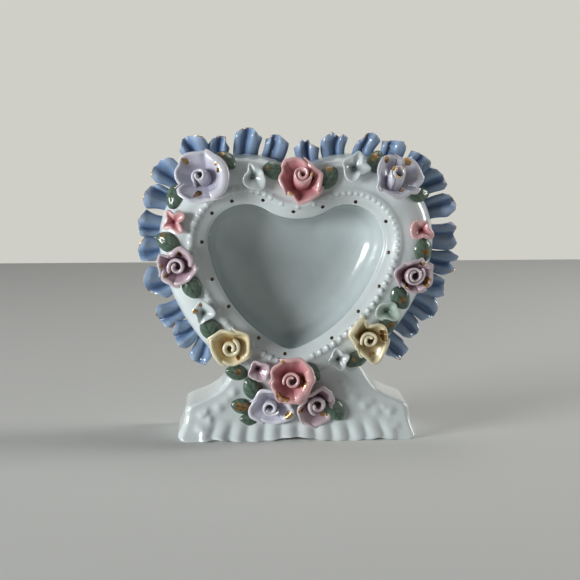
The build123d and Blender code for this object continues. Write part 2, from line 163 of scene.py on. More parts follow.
# Forms are dictionaries of vertices, faces and two painted fields, joined before a mesh is made
def gridFaces(ids):
    return np.stack([ids[:-1, :-1], ids[1:, :-1], ids[1:, 1:], ids[:-1, 1:]], -1).reshape(-1, 4)


def joinForms(forms):
    starts = np.cumsum([0] + [len(form["verts"]) for form in forms])
    joined = {key: np.concatenate([form[key] for form in forms]) for key in ("verts", "tone", "gilt")}
    joined["quads"] = np.concatenate([form["quads"] + start for form, start in zip(forms, starts)])
    joined["tris"] = np.concatenate([form["tris"] + start for form, start in zip(forms, starts)])
    return joined


noTris = np.zeros((0, 3), int)


# Share of a sheet's full thickness, from pairs of a place, which is 1 at the edge, and a power: the square root
# of one less the place to that power rounds the edge off, the later the higher the power
def edgeShare(*pairs):
    share = 1.0
    for place, power in pairs:
        share = share * (1 - np.abs(place)**power)
    return np.sqrt(share)


# A sheet given by its middle surface: its two skins lie half the thickness to each side and share the border
def thickSheet(mid, thick, wrap, tone, gilt):
    along = np.roll(mid, -1, 0) - np.roll(mid, 1, 0) if wrap else np.gradient(mid, axis=0)
    normal = np.cross(along, np.gradient(mid, axis=1))
    normal /= np.linalg.norm(normal, axis=-1, keepdims=True) + 1e-9
    border = np.zeros(mid.shape[:2], bool)
    border[:, [0, -1]] = True
    if not wrap:
        border[[0, -1]] = True
    half = normal * np.where(border, 0, thick)[..., None] / 2
    front = np.arange(border.size).reshape(border.shape)
    back = np.where(border, front, front + border.size)
    if wrap:
        front, back = (np.concatenate([ids, ids[:1]]) for ids in (front, back))
    quads = np.concatenate([gridFaces(front), gridFaces(back)[:, ::-1]])
    used, quads = np.unique(quads, return_inverse=True)
    verts = np.concatenate([(mid + half).reshape(-1, 3), (mid - half).reshape(-1, 3)])[used]
    fields = [np.tile(np.broadcast_to(field, border.shape).ravel(), 2)[used] for field in (tone, gilt)]
    return dict(verts=verts, quads=quads.reshape(-1, 4), tris=noTris, tone=fields[0], gilt=fields[1])


# A closed skin: rings of points from a first pole to a last pole, each ring closed on itself
def poleSkin(rings, first, last, tone, gilt):
    around, levels = rings.shape[:2]
    ids = np.arange(around * levels).reshape(around, levels)
    ids = np.concatenate([ids, ids[:1]])
    pole = np.full(around, around * levels)
    tris = np.concatenate([np.stack([pole, ids[:-1, 0], ids[1:, 0]], -1),
                           np.stack([pole + 1, ids[1:, -1], ids[:-1, -1]], -1)])
    verts = np.concatenate([rings.reshape(-1, 3), [first, last]])
    fields = [np.broadcast_to(field, (around, levels)) for field in (tone, gilt)]
    fields = [np.append(field.ravel(), [field[0, 0], field[0, -1]]) for field in fields]
    return dict(verts=verts, quads=gridFaces(ids)[:, ::-1], tris=tris, tone=fields[0], gilt=fields[1])


def makePiece(name, form, glazeKey, *nodes):
    quads, tris = form["quads"], form["tris"]
    mesh = bpy.data.meshes.new(name)
    mesh.vertices.add(len(form["verts"]))
    mesh.vertices.foreach_set("co", (form["verts"] * mm).astype(np.float32).ravel())
    loops = np.concatenate([quads.ravel(), tris.ravel()]).astype(np.int32)
    mesh.loops.add(len(loops))
    mesh.loops.foreach_set("vertex_index", loops)
    starts = np.concatenate([np.arange(len(quads)) * 4, len(quads) * 4 + np.arange(len(tris)) * 3])
    mesh.polygons.add(len(starts))
    mesh.polygons.foreach_set("loop_start", starts.astype(np.int32))
    mesh.update(calc_edges=True)
    mesh.polygons.foreach_set("use_smooth", np.ones(len(starts), bool))
    for field in ("tone", "gilt"):
        values = form[field].astype(np.float32)
        mesh.attributes.new(field, "FLOAT", "POINT").data.foreach_set("value", values)
    mesh.materials.append(glazes[glazeKey]["material"])
    piece = bpy.data.objects.new(name, mesh)
    bpy.context.scene.collection.objects.link(piece)
    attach(piece, "root")
    if nodes:
        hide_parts(*nodes)


# Colours are written as screen values from 0 to 255
def paint(red, green, blue):
    share = np.array([red, green, blue]) / 255
    linear = np.where(share <= 0.04045, share / 12.92, ((share + 0.055) / 1.055)**2.4)
    return (*[float(value) for value in linear], 1.0)


# Each input of a node takes a value or the output of another node
def feed(tree, node, inputs):
    for key, value in inputs.items():
        if isinstance(value, bpy.types.NodeSocket):
            tree.links.new(value, node.inputs[key])
        else:
            node.inputs[key].default_value = value


def addNode(tree, kind, inputs=None, **settings):
    node = tree.nodes.new(kind)
    for key, value in settings.items():
        setattr(node, key, value)
    feed(tree, node, inputs or {})
    return node


def newGroup(name, given, made):
    group = bpy.data.node_groups.new(name, "ShaderNodeTree")
    for direction, titles in (("INPUT", given), ("OUTPUT", made)):
        for title in titles:
            group.interface.new_socket(name=title, in_out=direction, socket_type="NodeSocketFloat")
    return group


# Node group: soft clouds in the glaze, as a brightness, and a fine uneven height
def cloudGroup():
    group = newGroup("glazeCloud", [], ["Light", "Height"])
    place = addNode(group, "ShaderNodeTexCoord").outputs["Object"]
    broad = addNode(group, "ShaderNodeTexNoise", {"Vector": place, "Scale": 110, "Detail": 3})
    fine = addNode(group, "ShaderNodeTexNoise", {"Vector": place, "Scale": 420, "Detail": 2})
    light = addNode(group, "ShaderNodeMapRange", {"Value": broad.outputs["Fac"], "From Min": 0.3,
                                                  "From Max": 0.7, "To Min": 0.95, "To Max": 1.03})
    addNode(group, "NodeGroupOutput", {"Light": light.outputs["Result"], "Height": fine.outputs["Fac"]})
    return group


# Node group: gold where the painted field rises over a threshold that noise makes ragged
def goldGroup():
    group = newGroup("goldDabs", ["Gilt"], ["Mask", "Height"])
    gilt = addNode(group, "NodeGroupInput").outputs["Gilt"]
    place = addNode(group, "ShaderNodeTexCoord").outputs["Object"]
    rough = addNode(group, "ShaderNodeTexNoise", {"Vector": place, "Scale": 700, "Detail": 2}).outputs["Fac"]
    shift = addNode(group, "ShaderNodeMath", {0: rough, 1: 0.5, 2: gilt}, operation="MULTIPLY_ADD")
    edge = addNode(group, "ShaderNodeMapRange", {"Value": shift.outputs["Value"], "From Min": 0.68,
                                                 "From Max": 0.82}, interpolation_type="SMOOTHSTEP")
    mask = edge.outputs["Result"]
    lift = addNode(group, "ShaderNodeMath", {0: mask, 1: rough}, operation="MULTIPLY")
    addNode(group, "NodeGroupOutput", {"Mask": mask, "Height": lift.outputs["Value"]})
    return group


cloud, gold = cloudGroup(), goldGroup()
goldDark, goldPale = paint(58, 42, 26), paint(190, 150, 94)
# Sockets of a mix node that mixes colours
colourA, colourB, colourOut = 6, 7, 2


# Glaze: tone runs from deep through body to pale, times the clouds; tone carries painted shade and highlight
# from the pieces besides their own colour. Over it lies gold with its own relief, its colour running from dark
# to pale with the same tone, so the painted shade darkens the gold too
def makeGlaze(slotName, name, deep, body, pale):
    material = bpy.data.materials.new(name)
    material.use_nodes = True
    tree = material.node_tree
    tone = addNode(tree, "ShaderNodeAttribute", attribute_name="tone").outputs["Fac"]
    gilt = addNode(tree, "ShaderNodeAttribute", attribute_name="gilt").outputs["Fac"]
    ramp = addNode(tree, "ShaderNodeValToRGB", {"Fac": tone})
    stops = ramp.color_ramp.elements
    stops[0].color, stops[1].color = paint(*deep), paint(*pale)
    stops.new(0.55).color = paint(*body)
    clouds = addNode(tree, "ShaderNodeGroup", node_tree=cloud).outputs
    dabs = addNode(tree, "ShaderNodeGroup", {"Gilt": gilt}, node_tree=gold).outputs
    mask = dabs["Mask"]
    ramped = ramp.outputs["Color"]
    shade = addNode(tree, "ShaderNodeMix", {"Factor": 1, colourA: ramped, colourB: clouds["Light"]},
                    data_type="RGBA", blend_type="MULTIPLY").outputs[colourOut]
    bronze = addNode(tree, "ShaderNodeMix", {"Factor": tone, colourA: goldDark, colourB: goldPale},
                     data_type="RGBA").outputs[colourOut]
    gilded = addNode(tree, "ShaderNodeMix", {"Factor": mask, colourA: shade, colourB: bronze},
                     data_type="RGBA").outputs[colourOut]
    metal = addNode(tree, "ShaderNodeMath", {0: mask, 1: 0.8}, operation="MULTIPLY")
    rough = addNode(tree, "ShaderNodeMapRange", {"Value": mask, "To Min": 0.16, "To Max": 0.26})
    relief = addNode(tree, "ShaderNodeMath", {0: dabs["Height"], 1: 9.0, 2: clouds["Height"]},
                     operation="MULTIPLY_ADD")
    bump = addNode(tree, "ShaderNodeBump", {"Height": relief.outputs["Value"], "Strength": 0.12,
                                            "Distance": 0.0004})
    shader = tree.nodes["Principled BSDF"]
    shader.inputs["Coat Weight"].default_value = 0.35
    shader.inputs["Coat Roughness"].default_value = 0.04
    feed(tree, shader, {"Base Color": gilded, "Metallic": metal.outputs["Value"],
                        "Roughness": rough.outputs["Result"], "Normal": bump.outputs["Normal"]})
    return dict(slot=slotName, material=material)


glazes = {
    "white": makeGlaze("white_glaze", "whiteGlaze", (120, 134, 130), (206, 216, 218), (222, 230, 230)),
    "blue": makeGlaze("blue_glaze", "blueGlaze", (48, 70, 108), (120, 147, 184), (170, 190, 214)),
    "leaf": makeGlaze("leaf_green_glaze", "leafGlaze", (36, 52, 42), (82, 106, 90), (124, 146, 130)),
    "pink": makeGlaze("pink_glaze", "pinkGlaze", (150, 74, 84), (212, 148, 152), (230, 188, 188)),
    "lavender": makeGlaze("lavender_glaze", "lavenderGlaze", (158, 156, 174), (202, 201, 216), (222, 222, 230)),
    "mauve": makeGlaze("mauve_glaze", "mauveGlaze", (96, 56, 74), (184, 156, 170), (218, 204, 208)),
    "yellow": makeGlaze("yellow_glaze", "yellowGlaze", (158, 122, 62), (228, 212, 166), (238, 229, 200)),
    "green": makeGlaze("pale_green_glaze", "paleGreenGlaze", (88, 112, 98), (168, 190, 178), (204, 218, 208)),
}
print("glazes ready")


# Case: the section below is carried round the heart. From the middle of the dished recess a flat-bottomed
# curve rises to the lip, depth = full depth x (1 - k^6)^(1/2) with k the share of the way out to the lip;
# then come the rolled lip, the sloping band, the bead ridge, the crest, the round shoulder and the back
case = dict(around=420, recess=14.6, lip=0.55, lipFront=-8.1, bandWidth=5.5, bandSwell=0.1,
            bandEnds=(1.0, 9.1), lipIn=1.3, lipFade=5, ridge=0.75, ridgeAt=5.2, ridgeSway=1.1,
            ridgeWidth=1.5, back=10.0, recessShadeTone=0.4, frontTone=0.78, backTone=0.7)
caseSteps = dict(recess=34, lip=8, band=43, shoulder=26, side=8, fillet=12, back=12)


# Depth of the sloping band at a distance outside the lip, swelling a little between lip and crest
def bandY(spread):
    part = np.clip(spread / case["bandWidth"], 0, 1)
    drop = heart["front"] + case["lipFront"]
    return case["lipFront"] - drop * (part + case["bandSwell"] * np.sin(np.pi * part))


# The opening is cast a little off the middle: on the right the lip is drawn in and the ridge lies nearer it
def lipShift(share, spread):
    inward = case["lipIn"] * np.clip(np.sin(2 * np.pi * share), 0, 1)**2
    return inward * (1 - eased(0, case["lipFade"], spread))


# The ridge lies at a distance outside the lip that sways once round the heart; across it, it is a bell curve
def ridgeLine(share):
    return case["ridgeAt"] - case["ridgeSway"] * np.sin(2 * np.pi * share)


def ridgeRise(share, spread):
    return case["ridge"] * np.exp(-((spread - ridgeLine(share)) / case["ridgeWidth"])**2)


# Hand-cast unevenness of the surface, two slow waves
def castWave(x, z):
    return 0.10 * np.sin(0.23 * x + 1.1) * np.sin(0.19 * z) + 0.05 * np.sin(0.51 * x - 0.37 * z)


def caseForm():
    share = np.linspace(0, 1, case["around"], endpoint=False)
    middle = np.array(heart["middle"])
    k = np.sin(np.linspace(0.04, 0.5, caseSteps["recess"]) * np.pi)[:-1]
    roll = np.radians(np.linspace(180, 270, caseSteps["lip"]))
    lipSpread = case["lip"] * (1 + np.cos(roll))
    lipDepth = case["lipFront"] + case["lip"] * (1 + np.sin(roll))
    bandSpread = np.linspace(*case["bandEnds"], caseSteps["band"])
    bandDepth = bandY(bandSpread)
    turn = np.radians(np.linspace(2, 90, caseSteps["shoulder"]))
    crest = heart["ring"] - heart["shoulder"]
    shoulderSpread = crest + heart["shoulder"] * np.sin(turn)
    shoulderY = -heart["front"] + heart["shoulder"] * (1 - np.cos(turn))
    sideY = np.linspace(shoulderY[-1], case["back"] - heart["backR"], caseSteps["side"])[1:]
    fillet = np.radians(np.linspace(0, 90, caseSteps["fillet"]))[1:]
    filletSpread = heart["ring"] - heart["backR"] * (1 - np.cos(fillet))
    filletY = case["back"] - heart["backR"] * (1 - np.sin(fillet))
    spread = np.concatenate([lipSpread, bandSpread, shoulderSpread, np.full(len(sideY), heart["ring"]),
                             filletSpread])
    depth = np.concatenate([lipDepth, bandDepth, shoulderY, sideY, filletY])
    ahead = np.arange(len(depth)) < len(lipDepth) + len(bandDepth) + len(shoulderY)
    share, spread = share[:, None], spread[None, :]
    depth = depth - ahead * ridgeRise(share, spread)
    points, _ = heartLine(share, spread - lipShift(share, spread))
    lip = points[:, :1]
    inner = middle + (lip - middle) * k[None, :, None]
    innerY = lipDepth[0] + case["recess"] * np.sqrt(1 - k**6)
    backK = np.linspace(0.94, 0.1, caseSteps["back"])
    outer = middle + (points[:, -1:] - middle) * backK[None, :, None]
    flat = np.concatenate([inner, points, outer], 1)
    innerY, backY = (np.tile(row, (len(share), 1)) for row in (innerY, np.full(len(backK), case["back"])))
    y = np.concatenate([innerY, depth, backY], 1) + castWave(flat[..., 0], flat[..., 1])
    rings = np.stack([flat[..., 0], y, flat[..., 1]], -1)
    # Tone: the whole recess is painted darker than the front, as painted shade in the hollow; the back is a
    # little darker than the front
    tone = np.concatenate([np.full(len(k), case["recessShadeTone"]), np.full(spread.size, case["frontTone"]),
                           np.full(len(backK), case["backTone"])])
    floor = (middle[0], lipDepth[0] + case["recess"], middle[1])
    rear = (middle[0], case["back"], middle[1])
    return poleSkin(rings, floor, rear, tone[None, :], 0.0)


makePiece("heartCase", caseForm(), "white", "heart_case")
print("case ready")


# Foot: level sections from the table up into the ring, each a rectangle with rounded corners. Its half width
# follows the flare; the front carries soft flutes, low relief and a wavy lower edge, and goes over into the
# ring by a soft least of the two front surfaces
foot = dict(frontSteps=236, cornerSteps=9, sideSteps=6, backSteps=60, corner=2.6, wall=3.5, ceiling=10.0,
            frontY=-9.7, backY=16.0, top=31, flutes=14, fluteHeight=9.0, fluteDepth=0.95, skirt=3.4,
            skirtHeight=11, reliefWidth=0.85, blend=1.6, sunk=1.2, tone=0.8, hollowShadeTone=0.55)
footLevels = np.array([0, 0.4, 1.2, 3, 6, 9, 11.5, 13.0, 14.2, 15.4, 17, 19, 21, 23, 26, 29, 31.0])
footWidths = np.array([45.0, 46.0, 46.3, 45.6, 44.2, 43.4, 43.2, 42.5, 40.2, 37.0, 33.8, 30.8, 28.9, 27.5,
                       25.8, 24.0, 22.0])
# Lumps of relief: across, height, how far they stand out, size
footRelief = [(-24.5, 18.6, 0.9, 1.9), (-30.2, 12.8, 0.8, 2.2), (-36.6, 9.8, 0.8, 2.0), (-33.8, 8.4, 0.7, 1.7),
              (-35.0, 11.2, 0.6, 1.5), (-37.6, 4.9, 0.8, 1.9), (-27.2, 15.2, 0.5, 2.4), (18.8, 19.4, 0.9, 2.0),
              (21.8, 16.8, 0.7, 2.2), (17.0, 21.8, 0.6, 1.8), (26.0, 13.2, 0.9, 2.1), (28.2, 14.6, 0.6, 1.6),
              (35.6, 10.8, 0.9, 2.0), (33.4, 12.2, 0.6, 1.6), (37.8, 5.0, 0.8, 1.8), (30.6, 11.0, 0.5, 2.3)]


def footForm():
    levels = np.concatenate([np.linspace(0, 1.2, 7)[:-1], np.linspace(1.2, 14, 36)[:-1],
                             np.linspace(14, foot["top"], 46)])
    # The flare is smoothed by a moving average over some 1.5 mm of height
    dense = np.linspace(0, foot["top"], 621)
    kernel = np.hanning(31) / np.hanning(31).sum()
    margin = len(kernel) // 2
    padded = np.pad(np.interp(dense, footLevels, footWidths), margin, mode="reflect", reflect_type="odd")
    width = np.interp(levels, dense, np.convolve(padded, kernel, "valid"))
    backY = np.interp(levels, [0, 1, 12, 26, foot["top"]], [15.4, foot["backY"], foot["backY"], 9.6, 8.5])
    r = foot["corner"]
    flat = np.linspace(-1, 1, foot["frontSteps"])
    bend = np.radians(np.linspace(0, 90, foot["cornerSteps"] + 2)[1:-1])
    side = np.linspace(0, 1, foot["sideSteps"])
    rear = np.linspace(1, -1, foot["backSteps"])
    # Each stretch of the section: share of the width inside the corners, corner offset, share of the depth
    end = np.ones(len(bend) * 2 + len(side))
    inner = np.concatenate([flat, end, rear, -end])
    out = np.concatenate([0 * flat, np.sin(bend), 0 * side + 1, np.cos(bend), 0 * rear, -np.sin(bend),
                          0 * side - 1, -np.cos(bend)])
    fromFront = np.concatenate([0 * flat, 0 * bend, side, 0 * bend + 1, 0 * rear + 1, 0 * bend + 1,
                                side[::-1], 0 * bend])
    deep = np.concatenate([0 * flat - 1, -np.cos(bend), 0 * side, np.sin(bend), 0 * rear + 1, np.cos(bend),
                           0 * side, -np.sin(bend)])
    x = inner[:, None] * (width - r) + out[:, None] * r
    frontY = foot["frontY"] + r
    y = frontY + (backY - r - frontY) * fromFront[:, None] + deep[:, None] * r
    z = np.broadcast_to(levels, x.shape).copy()
    facing = np.clip(-deep, 0, 1)[:, None] * (fromFront[:, None] == 0)
    # Flutes: a cosine across the width, shifted by a quarter turn for an even number, made narrow by a power
    even = foot["flutes"] % 2 == 0
    flute = np.abs(np.cos(np.pi * foot["flutes"] / 2 * (x / width) + np.pi / 2 * even))**1.6
    fade = 1 - eased(0.35, 1.05, z / foot["fluteHeight"])
    inside = 1 - eased(36.5, 38.5, np.abs(x))
    skirt = foot["skirt"] * np.clip(1 - z / foot["skirtHeight"], 0, 1)**1.6
    y -= facing * (foot["fluteDepth"] * flute * fade * inside + skirt)
    y -= facing * sum(high * np.exp(-((x - cx)**2 + (z - cz)**2) / (foot["reliefWidth"] * size)**2)
                      for cx, cz, high, size in footRelief)
    # The ring's own front takes over near its edge: soft least of both, then sunk under the ring
    spread = spreadAt(x, z)
    ring = shoulderDepth(np.clip(spread, 0, heart["ring"]))
    gap = np.clip(0.5 + 0.5 * (y - ring) / foot["blend"], 0, 1)
    soft = y + (ring - y) * gap - foot["blend"] * gap * (1 - gap)
    near = (1 - eased(heart["ring"] - 1.5, heart["ring"] + 0.3, spread)) * facing
    y = y + (soft - y) * near + foot["sunk"] * facing * (1 - eased(9.6, 11.6, spread))
    wave = 1.6 * np.exp(-((x + 1) / 9)**2) + 0.8 * np.exp(-((np.abs(x) - 31) / 5)**2)
    z += facing * wave * (1 - eased(0, 5, z))
    # Under the foot the same sections run back up inside the wall to the ceiling of the hollow
    low = np.linspace(0, foot["ceiling"], 8)
    shrink = (width[0] - foot["wall"]) / width[0]
    innerX = np.repeat(x[:, :1] * shrink, len(low), 1)
    innerFront = foot["frontY"] + foot["wall"]
    innerY = innerFront + (np.clip(y[:, :1], foot["frontY"], 15) - foot["frontY"]) * 0.72
    innerY = np.repeat(innerY, len(low), 1)
    innerZ = np.broadcast_to(low[::-1], innerX.shape)
    rings = np.concatenate([np.stack([innerX, innerY, innerZ], -1), np.stack([x, y, z], -1)], 1)
    # Tone: the inside of the hollow is painted darker than the outside, as painted shade under the foot
    tone = np.concatenate([np.full(len(low), foot["hollowShadeTone"]), np.full(len(levels), foot["tone"])])
    return poleSkin(rings, (0, 3, foot["ceiling"]), (0, 0, foot["top"]), tone[None, :], 0.0)


makePiece("footBody", footForm(), "white", "pedestal_foot")
print("foot ready")


# Beads and gold dots: round domes, height x (1 - r^2)^0.8 - sunk x r^2 with r the share of the radius
def domes(spots, ways, tilt, radius, height, sunk, tone, gilt):
    turn = np.linspace(0, 2 * np.pi, 10, endpoint=False)
    ring = np.array([1.0, 0.78, 0.5, 0.25])
    heights = np.broadcast_to(height, len(spots))
    ahead = np.full(len(ways), -np.cos(tilt))
    out = np.stack([ways[:, 0] * np.sin(tilt), ahead, ways[:, 1] * np.sin(tilt)], -1)
    side = np.stack([-ways[:, 1], np.zeros(len(ways)), ways[:, 0]], -1)
    along = np.cross(out, side)
    forms = []
    for spot, normal, one, two, high in zip(spots, out, side, along, heights):
        lift = high * (1 - ring**2)**0.8 - sunk * ring**2
        disc = np.cos(turn)[:, None, None] * one + np.sin(turn)[:, None, None] * two
        points = spot + radius * ring[None, :, None] * disc + lift[None, :, None] * normal
        forms.append(poleSkin(points[::-1], spot - (sunk + 0.3) * normal, spot + high * normal, tone, gilt))
    return joinForms(forms)


# Rim reach in millimetres at a bearing, straight between the corners of a flower's outline
def rimReach(outline, bearing):
    at, reach = np.array(outline, float).T
    return np.interp(np.degrees(bearing), at, reach, period=360)


# Painted gold: round dabs at places of the seat's plane, each fading with the square of the distance
def giltAt(dabs, x, y):
    field = np.zeros(np.broadcast(x, y).shape)
    for across, along, size in dabs:
        field = np.maximum(field, 0.85 * np.exp(-((x - across)**2 + (y - along)**2) / size**2))
    return field


# Petal of a rose, on a grid of u across (-1 to 1) and v from root to rim. Up to the bend it goes out with the
# sine and up with one minus the cosine of v; from there its rim rolls outwards round a small circle. The rim
# lies on the flower's outline, one side is tucked in behind the next petal, and the sheet ripples with u
petal = dict(steps=(49, 31), bend=0.72, root=1.5, base=0.3, thick=0.9, edges=(10, 14), waves=2.3, waveDip=0.8,
             rootTone=0.06, bodyTone=0.64, curlTone=0.3)


def petalForm(seat, outline, dabs, at, half, rise, stand=0.66, roll=0.8, turn=95, tuck=0.55, ruffle=0.25,
              phase=0.0, drop=0.16, shrink=1.0):
    u = bunched(-1, petal["steps"][0])[:, None]
    v = np.linspace(0, 1, petal["steps"][1])[None, :]
    w = np.minimum(v / petal["bend"], 1)
    curl = np.clip((v - petal["bend"]) / (1 - petal["bend"]), 0, 1)
    rim = rimReach(outline, np.radians(at + u * half)) * shrink
    end = stand * np.pi / 2
    across, up = rim.mean() / np.tan(end), rise * np.sin(end) / (1 - np.cos(end))
    across, up = across / np.hypot(across, up), up / np.hypot(across, up)
    swing = np.radians(turn)
    reach = rim - roll * (np.sin(swing) * across + (1 - np.cos(swing)) * up)
    out = petal["root"] + (reach - petal["root"]) * np.sin(w * end) / np.sin(end)
    high = petal["base"] + rise * (1 - drop * np.abs(u)**3) * (1 - np.cos(w * end)) / (1 - np.cos(end))
    out = out + roll * (np.sin(swing * curl) * across + (1 - np.cos(swing * curl)) * up)
    high = high + roll * (np.sin(swing * curl) * up - (1 - np.cos(swing * curl)) * across)
    wave = ruffle * np.sin(petal["waves"] * np.pi * u + phase) * v**2
    out, high = out + wave + tuck * u * v, high - petal["waveDip"] * wave
    bearing = np.radians(at) + u * np.radians(half) * (0.82 + 0.18 * np.sqrt(v))
    x, y = out * np.cos(bearing), out * np.sin(bearing)
    thick = petal["thick"] * edgeShare((u, petal["edges"][0]), (v, petal["edges"][1]))
    # Tone: dark at the root, lighter outwards and lightest on the curled rim: painted shade deep in the flower
    # and painted highlight on the rim, partly the own darker inside and paler rims of the mauve roses
    tone = petal["rootTone"] + petal["bodyTone"] * eased(0.2, 1.0, w) + petal["curlTone"] * curl + 0 * u
    return thickSheet(onSeat(seat, x, y, high), thick, False, tone, giltAt(dabs, x, y))


# Pad under a rose: a low dome that fills the floor between the petals and the bud, painted in a dark tone as
# painted shade on the flower's floor
def padForm(seat, radius, height, depth, tone):
    turn = np.linspace(0, 2 * np.pi, 32, endpoint=False)[:, None]
    ring = np.array([0.5, 1.0, 1.0, 0.75, 0.4])[None, :]
    lift = np.array([-depth, -depth, 0.35 * height, 0.85 * height, height])[None, :]
    rings = onSeat(seat, radius * ring * np.cos(turn), radius * ring * np.sin(turn), lift + 0 * turn)
    first, last = (seat["origin"] + seat["out"] * level for level in (-depth, height))
    return poleSkin(rings[::-1], first, last, tone, 0.0)


# Bud: a strip wound into a spiral tube, radius growing with the winding angle, its top uneven and its walls
# leaned in or out; the outer end of the strip stands a little free
bud = dict(steps=(121, 23), base=0.3, fall=0.1, edges=(30, 14), rootTone=0.04, rimTone=0.86, outerTone=0.06)


def budForm(seat, at, dabs=(), spot=(0, 0), turns=1.4, hole=1.2, radius=3.0, tall=5.4, lean=(0, 0),
            flare=0.05, wavy=0.05, gild=0.0, thick=1.25, free=0.4):
    s = bunched(-1, bud["steps"][0])[:, None] / 2 + 0.5
    v = bunched(0, bud["steps"][1])[None, :]
    angle = np.radians(at) + 2 * np.pi * turns * s
    reach = (hole + (radius - hole) * s) * (1 - flare + 2 * flare * v) + free * eased(0.88, 1, s) * v**2
    up = bud["base"] + tall * v * (1 - bud["fall"] * s + wavy * np.sin(2 * angle + 1))
    x = spot[0] + reach * np.cos(angle) + lean[0] * up * v
    y = spot[1] + reach * np.sin(angle) + lean[1] * up * v
    sheet = thick * edgeShare((2 * s - 1, bud["edges"][0]), (v, bud["edges"][1]))
    # Tone: dark at the foot of the roll and light at its top, the outer end a little lighter: painted shade
    # down in the wound strip and painted light on its rim, partly the own darker inside of the mauve roses
    tone = bud["rootTone"] + bud["rimTone"] * eased(0.35, 1.0, v) + bud["outerTone"] * s
    gilt = np.maximum(gild * eased(0.86, 0.96, v) * (0.8 + 0.2 * np.sin(3 * angle)), giltAt(dabs, x, y))
    return thickSheet(onSeat(seat, x, y, up), sheet, False, tone, gilt)


